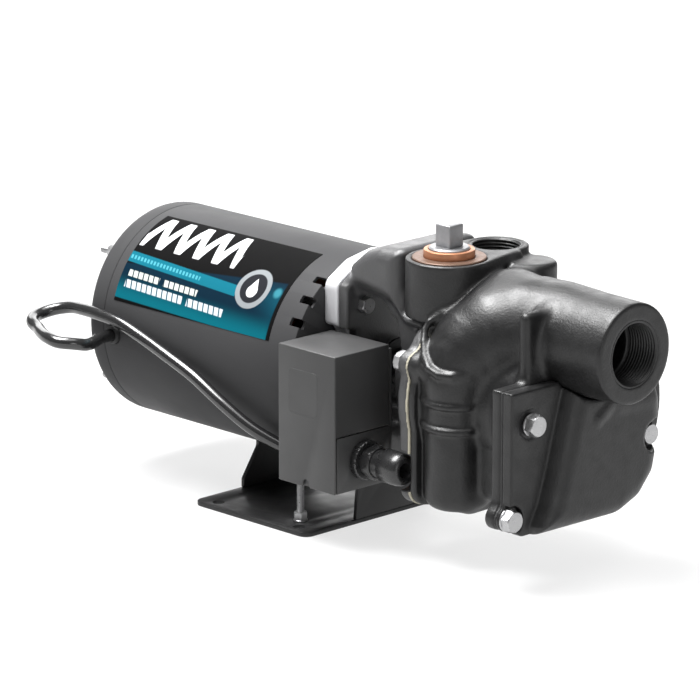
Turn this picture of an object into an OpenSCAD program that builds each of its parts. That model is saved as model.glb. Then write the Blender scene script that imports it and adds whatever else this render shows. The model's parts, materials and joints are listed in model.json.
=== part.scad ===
// Shallow well jet pump: an open drip-proof motor, a bracket, an iron pump casing with a jet
// inside, a pressure switch and a stamped steel base.
// +X runs along the shaft towards the suction port, -Y is the side with the switch, +Z is up.
// The origin is on the ground, at the centre of the four holes in the base.

/* [Base] */
// Length of the base plate along the shaft
base_l = 106; // [100:1:112]
// Width of the base plate
base_w = 158; // [154:1:164]
// Thickness of the base plate and its risers
base_t = 3; // [2.5:0.5:3]
// Distance between mounting holes along the shaft
hole_dx = 76; // [74:1:78]
// Distance between mounting holes across the shaft
hole_dy = 140; // [136:1:142]
// Radius of a mounting hole
hole_r = 4; // [3.5:0.1:4.5]
// Height of the shaft above the ground
shaft_z = 100; // [100:1:102]

/* [Motor] */
// Outer radius of the motor shell
shell_r = 71; // [71:0.5:72]
// Wall of the motor shell
shell_t = 2; // [1.5:0.1:2]
// Front face of the motor shell
shell_x1 = 31; // [31:0.5:31.5]
// Joint between the motor shell and the rear cap
shell_x0 = -148; // [-150:1:-146]
// Rear face of the rear cap
cap_x0 = -166; // [-168:1:-165]
// Radius of the rounded edge of the rear cap
cap_edge_r = 9; // [6:0.5:9]
// Distance from the shaft to each through bolt
through_bolt_pcr = 61; // [61:0.5:62]
// Radius of the shaft in its bearings
shaft_r = 8.5; // [8.5:0.1:8.5]

/* [Pump] */
// Radius of the casing drum and its flange
drum_r = 66; // [65:0.5:66]
// Face where the casing meets the bracket
drum_x0 = 128; // [128:0.5:129]
// Rear face of the front cover
cover_x0 = 216; // [215:0.5:217]
// Thickness of the front cover
cover_t = 8; // [7:0.5:9]
// Face of the suction port
suction_x = 262; // [258:1:264]
// Height of the suction port above the shaft
suction_dz = 47; // [46:0.5:48]
// Outer radius of the suction port
suction_boss_r = 32; // [31:0.5:32.5]
// Wall radius of the suction port's threaded hole
suction_r = 20.1; // [19.8:0.1:20.5]
// Length of the suction port's threaded hole
suction_l = 24; // [20:1:26]
// Wall radius of the discharge port's threaded hole
discharge_r = 15.7; // [15.4:0.1:16]
// Length of the discharge port's threaded hole
discharge_l = 22; // [20:1:24]
// Height of the rim of the top ports above the ground
rim_z = 187.5; // [186:0.5:189]

/* [Pressure switch] */
// Left face of the switch
switch_x0 = 35; // [35:0.5:36]
// Length of the switch along the shaft
switch_l = 51.5; // [50:0.5:52]
// Outer face of the switch, measured from the shaft
switch_y = 85.5; // [85:0.5:87]
// Depth of the switch
switch_d = 50.5; // [49:0.5:50.5]
// Bottom of the switch above the ground
switch_z = 37; // [36:0.5:38]
// Height of the switch
switch_h = 90; // [86:1:90]
// Sheet thickness of the switch cover
switch_t = 1.5; // [1.2:0.1:1.6]

/* [Motor lead] */
// Diameter of the motor lead
lead_d = 8.4; // [8:0.1:8.6]

/* [Hidden] */
$fn = 96;
// Clearance of a shaft or a fixed lead in its hole
slip = 0.05;
// Space between the switch cover and its tray
gap = 0.5;

// ---------------------------------------------------------------- helpers

// Stands children drawn along Z on the shaft's axis, so their Z runs along +X.
module along_shaft(x = 0, y = 0, z = shaft_z)
    translate([x, y, z]) rotate([0, 90, 0]) children();

// A rod along X.
module rod_x(r, x0, x1, y = 0, z = shaft_z) along_shaft(x0, y, z) cylinder(r = r, h = x1 - x0);

// A hexagon along X.
module hex_x(flats, x0, x1, y = 0, z = shaft_z)
    along_shaft(x0, y, z) cylinder(r = flats / sqrt(3), h = x1 - x0, $fn = 6);

// A tube along X.
module tube_x(ro, ri, x0, x1, y = 0, z = shaft_z)
    difference() {
        rod_x(ro, x0, x1, y, z);
        rod_x(ri, x0 - 1, x1 + 1, y, z);
    }

// An outline in Y and Z, given thickness along X.
module slab_x(x0, x1) translate([x0, 0, 0]) rotate([90, 0, 90]) linear_extrude(x1 - x0) children();

// An outline in X and Z, given thickness along Y.
module slab_y(y0, y1) translate([0, y1, 0]) rotate([90, 0, 0]) linear_extrude(y1 - y0) children();

// A block from its two corners.
module block(a, b) translate(a) cube(b - a);

// A rectangle with round corners.
module round_rect(a, b, r) {
    translate([a.x + r, a.y]) square([b.x - a.x - 2 * r, b.y - a.y]);
    translate([a.x, a.y + r]) square([b.x - a.x, b.y - a.y - 2 * r]);
    for (x = [a.x + r, b.x - r], y = [a.y + r, b.y - r]) translate([x, y]) circle(r);
}

// Two circles joined by their outer tangents.
module comet(c1, r1, c2, r2) {
    d = norm(c2 - c1);
    toward = atan2(c2.y - c1.y, c2.x - c1.x);
    spread = acos((r1 - r2) / d);
    up = [cos(toward + spread), sin(toward + spread)];
    down = [cos(toward - spread), sin(toward - spread)];
    translate(c1) circle(r1);
    translate(c2) circle(r2);
    polygon([c1 + r1 * up, c1 + r1 * down, c2 + r2 * down, c2 + r2 * up]);
}

// Runs children at each angle round the shaft.
module round_shaft(angles)
    for (a = angles) translate([0, 0, shaft_z]) rotate([a, 0, 0]) translate([0, 0, -shaft_z]) children();

// ---------------------------------------------------------------- base

riser_x = base_l / 2 - base_t;
support_at = [29, -60.5];
support_r = 2.4;

module base_plate() color("#1b1b1d") difference() {
    linear_extrude(base_t) round_rect([-base_l / 2, -base_w / 2], [base_l / 2, base_w / 2], 7);
    for (x = [-1, 1], y = [-1, 1])
        translate([x * hole_dx / 2, y * hole_dy / 2, -1]) cylinder(r = hole_r, h = base_t + 2);
    translate([support_at.x, support_at.y, -1]) cylinder(r = support_r + 0.1, h = base_t + 2);
}

module rear_riser() color("#1b1b1d") difference() {
    slab_x(-base_l / 2, -riser_x)
        polygon([
             [-36, base_t], [36, base_t], [36, 9], [22.6, 29],
             [22.6, 40], [-22.6, 40], [-22.6, 29], [-36, 9],
         ]);
    rod_x(shell_r, -base_l, 0);
}

riser_bolt_y = 18;
riser_bolt_z = 50;

module front_riser() color("#1b1b1d") difference() {
    slab_x(riser_x, base_l / 2)
        polygon([[-34, base_t], [34, base_t], [28, 62], [-28, 62]]);
    for (y = [-1, 1]) rod_x(4.2, riser_x - 1, base_l, y * riser_bolt_y, riser_bolt_z);
}

module base_bolts() color("#c9cccf") for (y = [-1, 1]) {
    hex_x(12.7, riser_x - 5.5, riser_x, y * riser_bolt_y, riser_bolt_z);
    rod_x(3.9, riser_x, riser_x + 17, y * riser_bolt_y, riser_bolt_z);
}

// ---------------------------------------------------------------- motor

front_wall_r = 30;
shell_in = shell_r - shell_t;
bolt_angles = [45, 135, 225, 315];
bell_bolt_at = [for (y = [-25, 25], z = [-26, 44]) [y, shaft_z + z]];
lead_exit_x = -138;
lead_exit_z = 97;

vent_angles = [35, 48, 61, -35, -48, -61, 150, -150];

// One vent notch open at the shell's front edge, at the top until it is turned round the shaft.
module vent_notch()
    block([shell_x1 - 9, -2.8, shaft_z + shell_in - 1], [shell_x1 + 1, 2.8, shaft_z + shell_r + 2]);

module motor_shell() color("#45464a") difference() {
    union() {
        tube_x(shell_r, shell_in, shell_x0, shell_x1);
        tube_x(shell_in + 0.5, front_wall_r, shell_x1 - shell_t, shell_x1);
        round_shaft(bolt_angles) tube_x(5, 2.6, shell_x1 - 9, shell_x1 - 1, 0, shaft_z + through_bolt_pcr);
    }
    round_shaft(vent_angles) vent_notch();
    for (p = bell_bolt_at) rod_x(3.2, shell_x1 - 5, shell_x1 + 1, p.x, p.y);
    translate([lead_exit_x, -shell_r + 8, lead_exit_z]) rotate([90, 0, 0]) cylinder(r = 6.5, h = 12);
}

module motor_rear_cap() color("#45464a") difference() {
    union() {
        along_shaft(cap_x0) rotate_extrude() difference() {
            union() {
                translate([0, cap_edge_r]) square([shell_r, shell_x0 - cap_x0 - cap_edge_r]);
                square([shell_r - cap_edge_r, cap_edge_r + 1]);
                translate([shell_r - cap_edge_r, cap_edge_r]) circle(cap_edge_r);
            }
            translate([0, shell_t]) square([shell_in - cap_edge_r + 2, shell_x0 - cap_x0]);
            translate([0, cap_edge_r]) square([shell_in, shell_x0 - cap_x0]);
        }
        tube_x(shell_in - 0.1, shell_in - 2, shell_x0 - 3, shell_x0 + 3);
        tube_x(24, 20, cap_x0 + 1, cap_x0 + 15);
        round_shaft(bolt_angles) rod_x(6, cap_x0 + 1, cap_x0 + 6, 0, shaft_z + through_bolt_pcr);
    }
    rod_x(10, cap_x0 - 1, cap_x0 + 3);
    round_shaft(bolt_angles) rod_x(2.6, cap_x0 - 1, cap_x0 + 11, 0, shaft_z + through_bolt_pcr);
    round_shaft([for (i = [0:11]) 15 + 30 * i])
        block([cap_x0 - 1, -3, shaft_z + 31], [cap_x0 + 3, 3, shaft_z + 49]);
}

// Front face of the motor: a tall arch with ears above and a narrow waist beside the switch.
bell_x1 = 43;
module bell_outline(inset = 0)
    polygon([
        [-32 + inset, 62 + inset], [-32 + inset, 128], [-41 + inset, 130], [-41 + inset, 159 - inset],
        [-22, 170 - inset], [0, 174 - inset], [22, 170 - inset], [41 - inset, 159 - inset],
        [41 - inset, 130], [32 - inset, 128], [32 - inset, 62 + inset]
    ]);

module motor_end_bell() color("#c8c9cb") difference() {
    union() {
        slab_x(shell_x1, bell_x1) bell_outline();
        rod_x(front_wall_r - 0.1, shell_x1 - 5, shell_x1 + 1);
    }
    rod_x(20, shell_x1 - 6, shell_x1 + 7);
    rod_x(11, shell_x1, bell_x1 + 1);
    for (p = bell_bolt_at) rod_x(3.2, shell_x1 - 1, bell_x1 + 1, p.x, p.y);
}

module motor_through_bolts() color("#d4d6d8") round_shaft(bolt_angles) {
    hex_x(8, cap_x0 - 5, cap_x0, 0, shaft_z + through_bolt_pcr);
    rod_x(2.5, cap_x0 - 13, shell_x1 - 2, 0, shaft_z + through_bolt_pcr);
}

module bell_bolts() color("#d4d6d8") for (p = bell_bolt_at) {
    hex_x(10, bell_x1 + 8, bell_x1 + 13, p.x, p.y);
    rod_x(3, shell_x1 - 4, bell_x1 + 8, p.x, p.y);
}

stator_x0 = -104;
stator_x1 = -20;
rotor_r = 35.5;

module stator_core() color("#77797c") difference() {
    rod_x(shell_in, stator_x0, stator_x1);
    rod_x(rotor_r + 0.6, stator_x0 - 1, stator_x1 + 1);
    round_shaft(bolt_angles) block([stator_x0 - 1, -6, shaft_z + through_bolt_pcr - 5],
                                   [stator_x1 + 1, 6, shaft_z + shell_r]);
    round_shaft([for (i = [0:23]) 15 * i + 7.5])
        block([stator_x0 - 1, -1.6, shaft_z + rotor_r + 4], [stator_x1 + 1, 1.6, shaft_z + rotor_r + 16]);
}

module stator_windings() color("#a55a2a") {
    for (x = [stator_x0 - 17, stator_x1])
        along_shaft(x) rotate_extrude() round_rect([rotor_r + 3, 0], [rotor_r + 19, 17], 5);
}

module rotor_core() color("#8b8e92") difference() {
    rod_x(rotor_r, stator_x0, stator_x1);
    rod_x(shaft_r + 0.5, stator_x0 - 1, stator_x1 + 1);
}

shaft_end_x = 150;
module motor_shaft() color("#c2c5c8") {
    rod_x(shaft_r, cap_x0 + 3.2, -96);
    rod_x(shaft_r + 0.5, -96, 22);
    rod_x(shaft_r, 22, 108);
    rod_x(7.5, 108, shaft_end_x);
}

module cooling_fan() color("#2b2c30") {
    tube_x(15, shaft_r, -134, -123);
    tube_x(56, 14, -125, -122.5);
    round_shaft([for (i = [0:9]) 36 * i]) block([-134, -1, shaft_z + 13], [-124, 1, shaft_z + 54]);
}

module bearing(x0, x1) color("#b9bcc0") {
    difference() {
        rod_x(20, x0, x1);
        rod_x(shaft_r + slip, x0 - 1, x1 + 1);
        tube_x(17, 12, x0 - 1, x0 + 0.8);
        tube_x(17, 12, x1 - 0.8, x1 + 1);
    }
}
module front_bearing() bearing(shell_x1 - 5, shell_x1 + 7);
module rear_bearing() bearing(cap_x0 + 3, cap_x0 + 15);

module water_slinger() color("#202124") {
    tube_x(12, shaft_r, 55, 61);
    tube_x(19, 11, 57, 59);
}

// Printed foil wrapped round the upper near side of the shell.
label_t = 0.3;
module motor_label() color("#0e5f78") intersection() {
    tube_x(shell_r + label_t, shell_r, -140, 8);
    slab_x(-140, 8) polygon([
        [0, shaft_z],
        [-120 * cos(74), shaft_z + 120 * sin(74)],
        [-120 * cos(45), shaft_z + 120 * sin(45)],
        [-120 * cos(16), shaft_z + 120 * sin(16)]
    ]);
}

// ---------------------------------------------------------------- motor lead

// Route of the lead's centre line, from the motor's side to the switch.
lead_route = [
    [-138, -66, 97], [-138, -76, 97], [-137, -84, 97], [-132, -94, 97], [-128, -104, 98], [-130, -113, 100],
    [-137, -120, 101], [-147, -120, 102], [-159, -115, 102], [-171, -108, 102], [-181, -104, 103],
    [-188, -97, 104], [-190, -88, 105], [-186, -79, 107], [-176, -74, 109], [-162, -75, 110],
    [-146, -76, 110], [-126, -76, 108], [-104, -76, 102], [-80, -77, 95], [-54, -77, 86],
    [-28, -76, 73], [-6, -71, 60], [14, -62, 50], [25, -57, 48], [32, -57, 48], [39, -57, 48]
];

// One point of a smooth curve through the route: u runs from 0 to the last point's number.
function at(i) = lead_route[max(0, min(len(lead_route) - 1, i))];
function lead_point(u) =
    let (i = min(floor(u), len(lead_route) - 2), t = u - i,
         a = at(i - 1), b = at(i), c = at(i + 1), d = at(i + 2))
    0.5 * (2 * b + (c - a) * t + (2 * a - 5 * b + 4 * c - d) * t * t + (3 * b - a - 3 * c + d) * t * t * t);
function unit(v) = v / norm(v);

module sweep(points, r, sides) {
    n = len(points);
    tangents = [for (i = [0:n - 1]) unit(points[min(i + 1, n - 1)] - points[max(i - 1, 0)])];
    rings = [for (i = [0:n - 1])
        let (side = unit(cross(tangents[i], [0, 0, 1])), lift = cross(side, tangents[i]))
        for (k = [0:sides - 1]) points[i] + r * (cos(360 * k / sides) * side + sin(360 * k / sides) * lift)];
    walls = [for (i = [0:n - 2], k = [0:sides - 1])
        let (a = i * sides + k, b = i * sides + (k + 1) % sides)
        each [[a, b, a + sides], [b, b + sides, a + sides]]];
    caps = [[for (k = [sides - 1:-1:0]) k], [for (k = [0:sides - 1]) (n - 1) * sides + k]];
    polyhedron(rings, concat(walls, caps));
}

lead_steps = 2;
module motor_lead() color("#1d1d1f")
    sweep([for (i = [0:(len(lead_route) - 1) * lead_steps]) lead_point(i / lead_steps)], lead_d / 2, 10);

lead_hole_r = lead_d / 2 + slip;
module lead_grommet() color("#19191a")
    translate([lead_exit_x, 0, lead_exit_z]) rotate([90, 0, 0]) difference() {
        translate([0, 0, shell_in - 3]) cylinder(r = 6.2, h = 7.5);
        translate([0, 0, shell_in - 4]) cylinder(r = lead_hole_r, h = 10);
    }

lead_in_y = -57;
lead_in_z = 48;
module lead_bushing() color("#19191a")
    tube_x(6.8, lead_hole_r, switch_x0 - 4, switch_x0 + 3, lead_in_y, lead_in_z);

// ---------------------------------------------------------------- bracket and seal

adapter_x1 = 128;
hub_x0 = 84;
tap_tube = [-42, 48];
connector_at = [-60, 56];
connector_notch_r = 12.5;
// Outline shared by the bracket's flange and the casing: round, with a square lower near corner.
module d_outline(r, side, bottom, corner = 12) {
    translate([0, shaft_z]) circle(r);
    round_rect([-side, bottom], [14, shaft_z + 14], corner);
}
casing_bolt_at = [[-28, 43], [-56, 125], [43, 57], [45, 141]];
// Height at which the joint's flanges are cut off flat, below the top ports
joint_top = 148;

// The face of the joint between bracket and casing, with an ear at each bolt.
module joint_outline() {
    d_outline(drum_r - 2, 62, 34);
    for (p = casing_bolt_at) translate(p) circle(8);
}

module adapter_bracket() color("#303134") difference() {
    union() {
        slab_x(bell_x1, bell_x1 + 8) bell_outline(1);
        intersection() {
            slab_x(adapter_x1 - 8, adapter_x1) joint_outline();
            block([adapter_x1 - 8, -80, 0], [adapter_x1, 80, joint_top]);
        }
        rod_x(32, hub_x0, adapter_x1 - 8);
        slab_y(-38, 38) polygon([[50, 158], [50, 171], [60, 182], [74, 187], [90, 188], [94, 186],
                                 [94, 149], [adapter_x1 - 8, 147], [adapter_x1 - 8, 138], [96, 140],
                                 [84, 156], [60, 160]]);
        for (y = [-1, 1]) slab_y(y * 27 - 4, y * 27 + 4)
            polygon([[50, 150], [50, 168], [72, 176], [94, 160], [94, 146], [adapter_x1 - 8, 120],
                     [hub_x0 + 12, 104], [hub_x0 + 8, 112], [86, 140], [70, 154]]);
        slab_y(-14, 14) polygon([[50, 66], [50, 78], [90, 78], [adapter_x1 - 8, 60], [adapter_x1 - 8, 44]]);
        block([riser_x + base_t, -28, 36], [riser_x + base_t + 20, 28, 68]);
    }
    rod_x(24, hub_x0 - 1, adapter_x1 - 18);
    rod_x(17.5, hub_x0, adapter_x1 - 8);
    rod_x(15, hub_x0, adapter_x1 + 1);
    rod_x(12, bell_x1 - 1, bell_x1 + 9);
    for (y = [-1, 1]) rod_x(4, riser_x, riser_x + base_t + 18, y * riser_bolt_y, riser_bolt_z);
    for (p = bell_bolt_at) rod_x(3.2, bell_x1 - 1, bell_x1 + 9, p.x, p.y);
    for (p = casing_bolt_at) rod_x(4.1, adapter_x1 - 9, adapter_x1 + 1, p.x, p.y);
    rod_x(4, adapter_x1 - 9, adapter_x1 + 1, tap_tube.x, tap_tube.y);
    rod_x(connector_notch_r, adapter_x1 - 9, adapter_x1 + 1, connector_at.x, connector_at.y);
}

gasket_t = 1.5;
module casing_gasket() color("#8f8468") difference() {
    intersection() {
        slab_x(drum_x0, drum_x0 + gasket_t) joint_outline();
        block([drum_x0 - 1, -80, 0], [drum_x0 + 2, 80, joint_top]);
    }
    rod_x(55, drum_x0 - 1, drum_x0 + 2);
    for (p = casing_bolt_at) rod_x(4.3, drum_x0 - 1, drum_x0 + 2, p.x, p.y);
    rod_x(4, drum_x0 - 1, drum_x0 + 2, tap_tube.x, tap_tube.y);
    rod_x(connector_notch_r, drum_x0 - 1, drum_x0 + 2, connector_at.x, connector_at.y);
}

module casing_bolts() color("#c9cccf") for (p = casing_bolt_at) {
    hex_x(12.7, adapter_x1 - 13.5, adapter_x1 - 8, p.x, p.y);
    rod_x(3.9, adapter_x1 - 8, adapter_x1 + 12, p.x, p.y);
}

module seal_seat() color("#e6e2d8") difference() {
    rod_x(15, adapter_x1 - 8, adapter_x1);
    rod_x(9.5, adapter_x1 - 9, adapter_x1 + 1);
}

module seal_head() color("#3a3a3d") {
    tube_x(13, 7.5, adapter_x1 + 0.1, adapter_x1 + 6);
}

// ---------------------------------------------------------------- hydraulic parts

imp_x0 = 134;
imp_x1 = 150;
module impeller() color("#d8cda6") {
    difference() {
        union() {
            rod_x(50, imp_x0, imp_x0 + 3);
            rod_x(12, imp_x0, imp_x1 - 2);
            tube_x(50, 20, imp_x1 - 5, imp_x1 - 2);
            tube_x(23, 20, imp_x1 - 3, imp_x1 + 2);
            round_shaft([for (i = [0:5]) 60 * i]) translate([0, 14, 0])
                slab_x(imp_x0 + 2, imp_x1 - 4) translate([0, shaft_z]) rotate(-35)
                    translate([2, 2]) square([2.4, 36]);
        }
        rod_x(7.5, imp_x0 - 1, imp_x1);
    }
}

module diffuser() color("#cfc49c") difference() {
    union() {
        rod_x(54, imp_x1 + 4, imp_x1 + 8);
        rod_x(29, imp_x1 + 1, imp_x1 + 20);
        tube_x(54, 51.5, drum_x0 + 3, imp_x1 + 5);
    }
    rod_x(23.5, imp_x1 - 1, imp_x1 + 6);
    rod_x(15, imp_x1, imp_x1 + 21);
}

module diffuser_ring() color("#1c1c1e") along_shaft(wall_x0 + 4) rotate_extrude()
    translate([30.5, 0]) circle(1.5);

module venturi() color("#d9cfa9") along_shaft(imp_x1 + 10) rotate_extrude() difference() {
    polygon([[0, 0], [14.9, 0], [14.9, 22], [13, 24], [13, 40], [0, 40]]);
    polygon([[-1, -1], [9.5, -1], [9.5, 0], [5.2, 28], [5.2, 32], [9, 41], [-1, 41]]);
}

module nozzle() color("#b08d4a") difference() {
    union() {
        hex_x(19, cover_x0 - 8, cover_x0 - 4);
        rod_x(7.9, cover_x0 - 8, cover_x0 + 1);
        along_shaft(cover_x0 - 14) cylinder(r1 = 5, r2 = 7.9, h = 6);
    }
    rod_x(3, cover_x0 - 17, cover_x0 + 5);
}

// ---------------------------------------------------------------- casing

tap_x = [123, 119];
tap_y = [-21, 25];
near_boss_r = 27.6;
far_boss_r = 21;
cover_bolt_at = [[-52, 105], [-67, 46], [50, 80]];
cover_ear_r = [9.5, 7.6, 9.5];
cover_seat_x = [224, 219, 224];

swell_at = [153.5, -44];
swell_r = 20.5;
drain_x = 190;
wall_x0 = 162;
wall_x1 = 172;
feed_at = [36, 64];
feed_r = 5;
cavity_r = 55;
tube_end_x = 141;
feed_d = norm([feed_at.x, feed_at.y - shaft_z]);
dome_h = 12;
dome_r = 180;

// Outline of the front cover's raised part.
module raised_outline()
    polygon([
        [-24, 125], [-31.5, 99], [-38.5, 74], [-47, 53], [-56, 39], [-52, 34], [22, 33.5], [41, 41],
        [54, 56], [59, 78], [59.5, 100], [52, 125]
    ]);

module cover_outline() {
    difference() {
        union() {
            translate([0, shaft_z]) circle(drum_r);
            polygon([[-69, 130], [-69, 44], [-62, 35], [20, 34], [20, 130]]);
        }
        translate([-80, 127]) square([160, 60]);
        translate([0, shaft_z + suction_dz]) circle(suction_boss_r + 4);
    }
    for (i = [0:2]) translate(cover_bolt_at[i]) circle(cover_ear_r[i]);
}

module pump_casing() color("#303134") difference() {
    union() {
        slab_x(drum_x0 + gasket_t, 168) d_outline(59, 54, 33);
        slab_x(drum_x0 + gasket_t, 142) for (p = casing_bolt_at) translate(p) circle(8);
        intersection() {
            slab_x(drum_x0 + gasket_t, 134.5) joint_outline();
            block([drum_x0, -80, 0], [140, 80, joint_top]);
        }
        slab_x(166, cover_x0 - gasket_t) d_outline(50.5, 46, 44);
        slab_x(cover_x0 - 8, cover_x0 - gasket_t) cover_outline();
        intersection() {
            union() {
                translate([swell_at.x, swell_at.y, 36]) cylinder(r = swell_r, h = 84);
                for (z = [88, 104]) translate([swell_at.x, swell_at.y, z]) cylinder(r = swell_r + 2, h = 3);
                translate([swell_at.x, swell_at.y, 118]) cylinder(r1 = swell_r, r2 = 23, h = 6);
                translate([swell_at.x, swell_at.y, 124]) cylinder(r = 23, h = 4);
                translate([152, -35, 124]) cylinder(r = 27, h = 22);
                translate([150, 25, 120]) cylinder(r = 16.5, h = 62.5);
                translate([163, -3, shaft_z + suction_dz]) sphere(r = 35);
            }
            block([drum_x0 + gasket_t, -90, 0], [cover_x0, 90, 220]);
        }
        translate([0, 0, 149.5]) linear_extrude(rim_z - 149.5)
            comet([tap_x[0], tap_y[0]], near_boss_r, [tap_x[1], tap_y[1]], far_boss_r);
        along_shaft(158, 0, shaft_z + suction_dz)
            cylinder(r1 = 35, r2 = suction_boss_r, h = suction_x - 158);
        block([206, -45.5, 92], [214, 30, 171]);
        translate([drain_x, 0, 34]) cylinder(r = 14, h = 20);
        rod_x(feed_r + 5, wall_x0 - 2, cover_x0 - gasket_t, feed_at.x, feed_at.y);
    }
    rod_x(cavity_r, drum_x0 - 1, wall_x0);
    rod_x(32.1, wall_x0 - 1, wall_x1 + 1);
    rod_x(46, wall_x1, cover_x0);
    rod_x(feed_r, wall_x0 - 1, cover_x0, feed_at.x, feed_at.y);
    along_shaft(suction_x - suction_l, 0, shaft_z + suction_dz) cylinder(r = suction_r, h = suction_l + 1);
    along_shaft(190, 0, shaft_z + suction_dz) cylinder(r = 18.5, h = suction_x - 192);
    translate([tap_x[1], tap_y[1], rim_z - discharge_l]) cylinder(r = discharge_r, h = discharge_l + 1);
    translate([tap_x[1] + 14, tap_y[1] - 4, 130]) cylinder(r = 10, h = 40);
    translate([tap_x[0], tap_y[0], rim_z - 22]) cylinder(r = 19.8, h = 23);
    translate([tap_x[0], tap_y[0], rim_z - 2]) cylinder(r = bushing_flange_r, h = 3);
    translate([tap_x[0] + 14, tap_y[0] + 4, 140]) cylinder(r = 9, h = 40);
    for (p = cover_bolt_at) rod_x(4, cover_x0 - 9, cover_x0, p.x, p.y);
    for (p = casing_bolt_at) rod_x(4, drum_x0, drum_x0 + 13, p.x, p.y);
    translate([drain_x, 0, 33]) cylinder(r = 6.6, h = 30);
    rod_x(3, drum_x0, tube_end_x, tap_tube.x, tap_tube.y);
    rod_x(1.6, tube_end_x - 1, tube_end_x + 4, tap_tube.x, tap_tube.y);
    translate([tube_end_x + 2.5, tap_tube.x, tap_tube.y]) rotate([-90, 0, 0]) cylinder(r = 1.5, h = 34);
}

module front_cover() color("#303134") difference() {
    union() {
        slab_x(cover_x0, cover_x0 + cover_t) cover_outline();
        intersection() {
            translate([cover_x0 + cover_t - dome_r + dome_h, 0, shaft_z]) sphere(r = dome_r);
            slab_x(cover_x0 + 1, cover_x0 + cover_t + dome_h + 5) raised_outline();
        }
        rod_x(14, cover_x0 - 4, cover_x0 + 1);
    }
    rod_x(suction_boss_r + 4, cover_x0 - 1, suction_x, 0, shaft_z + suction_dz);
    rod_x(10, cover_seat_x[1], suction_x, cover_bolt_at[1].x, cover_bolt_at[1].y);
    rod_x(10.5, cover_seat_x[2], suction_x, cover_bolt_at[2].x, cover_bolt_at[2].y);
    rod_x(8, cover_x0 - 6, cover_x0 + 4);
    rod_x(feed_r, cover_x0 - 1, cover_x0 + 5, feed_at.x, feed_at.y);
    translate([0, 0, shaft_z]) rotate([45, 0, 0])
        block([cover_x0 + 1, -feed_r, -feed_d], [cover_x0 + 5, feed_r, 0]);
    for (p = cover_bolt_at) rod_x(4.3, cover_x0 - 1, cover_x0 + cover_t + 1, p.x, p.y);
}

module cover_gasket() color("#2a2a2a") difference() {
    slab_x(cover_x0 - gasket_t, cover_x0) cover_outline();
    rod_x(46, cover_x0 - 2, cover_x0 + 1);
    rod_x(feed_r, cover_x0 - 2, cover_x0 + 1, feed_at.x, feed_at.y);
    for (p = cover_bolt_at) rod_x(4.3, cover_x0 - 2, cover_x0 + 1, p.x, p.y);
}

module cover_bolts() color("#dfe1e3") for (i = [0:2]) {
    p = cover_bolt_at[i];
    seat = cover_seat_x[i];
    rod_x(7.2, seat, seat + 1.5, p.x, p.y);
    hex_x(12.7, seat + 1.5, seat + 7.5, p.x, p.y);
    rod_x(3.9, cover_x0 - 8.5, seat + 1, p.x, p.y);
}

module drain_plug() color("#55585c") {
    translate([drain_x, 0, 34]) cylinder(r = 6.6, h = 12);
    translate([drain_x - 4, -4, 27]) cube([8, 8, 7]);
}

bushing_flange_r = 23.6;
bushing_neck_r = 16.3;
bushing_top = rim_z + 5.5;
module priming_bushing() color("#b8704a") translate([tap_x[0], tap_y[0], 0]) difference() {
    union() {
        translate([0, 0, rim_z - 22]) cylinder(r = 19.8, h = 22);
        translate([0, 0, rim_z - 2]) cylinder(r = bushing_flange_r, h = 2.6);
        translate([0, 0, rim_z]) cylinder(r = bushing_neck_r, h = bushing_top - rim_z);
    }
    translate([0, 0, rim_z - 23]) cylinder(r = 13.2, h = 40);
}

plug_flats = 12.7;
module priming_plug() color("#b9bcc0") translate([tap_x[0], tap_y[0], 0]) {
    translate([0, 0, rim_z - 10]) cylinder(r = 13.1, h = 17);
    translate([-plug_flats / 2, -plug_flats / 2, rim_z + 7]) cube([plug_flats, plug_flats, 14.5]);
}

// ---------------------------------------------------------------- pressure switch

in_y = switch_d - switch_y;
near_y = -switch_y;
switch_x1 = switch_x0 + switch_l;
split_z = switch_z + 37;
top_z = switch_z + switch_h;
tray_inset = switch_t + gap;

// Back plate and lower tray, open above.
module switch_base() color("#5c5d60") difference() {
    union() {
        block([switch_x0, in_y - 2, switch_z], [switch_x1, in_y, top_z - 3]);
        difference() {
            block([switch_x0, near_y + tray_inset, switch_z], [switch_x1, in_y, split_z - gap]);
            block(
                [switch_x0 + 2, near_y + tray_inset + 2, switch_z + 2],
                [switch_x1 - 2, in_y - 2, split_z]
            );
        }
    }
    rod_x(6.9, switch_x0 - 1, switch_x0 + 3, lead_in_y, lead_in_z);
    rod_x(7.1, switch_x1 - 3, switch_x1 + 1, connector_at.x, connector_at.y);
    rod_x(3.1, switch_x1 - 3, switch_x1 + 1, tap_tube.x, tap_tube.y);
    for (x = [-1, 1]) translate([switch_x0 + 10 + 5 * x, -54, switch_z - 1]) cylinder(r = 2.1, h = 4);
}

// A cap open at the back and at the bottom.
module switch_cover() color("#5f6063") difference() {
    union() {
        block([switch_x0, near_y, split_z], [switch_x1, in_y - 2 - gap, top_z]);
        block([switch_x0, near_y, switch_z], [switch_x1, near_y + switch_t, split_z + 1]);
    }
    block([switch_x0 + switch_t, near_y + switch_t, split_z - 1],
          [switch_x1 - switch_t, in_y, top_z - switch_t]);
    block([switch_x0 + 22, near_y - 1, switch_z - 1], [switch_x0 + 28, near_y + switch_t + 1, switch_z + 5]);
}

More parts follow.
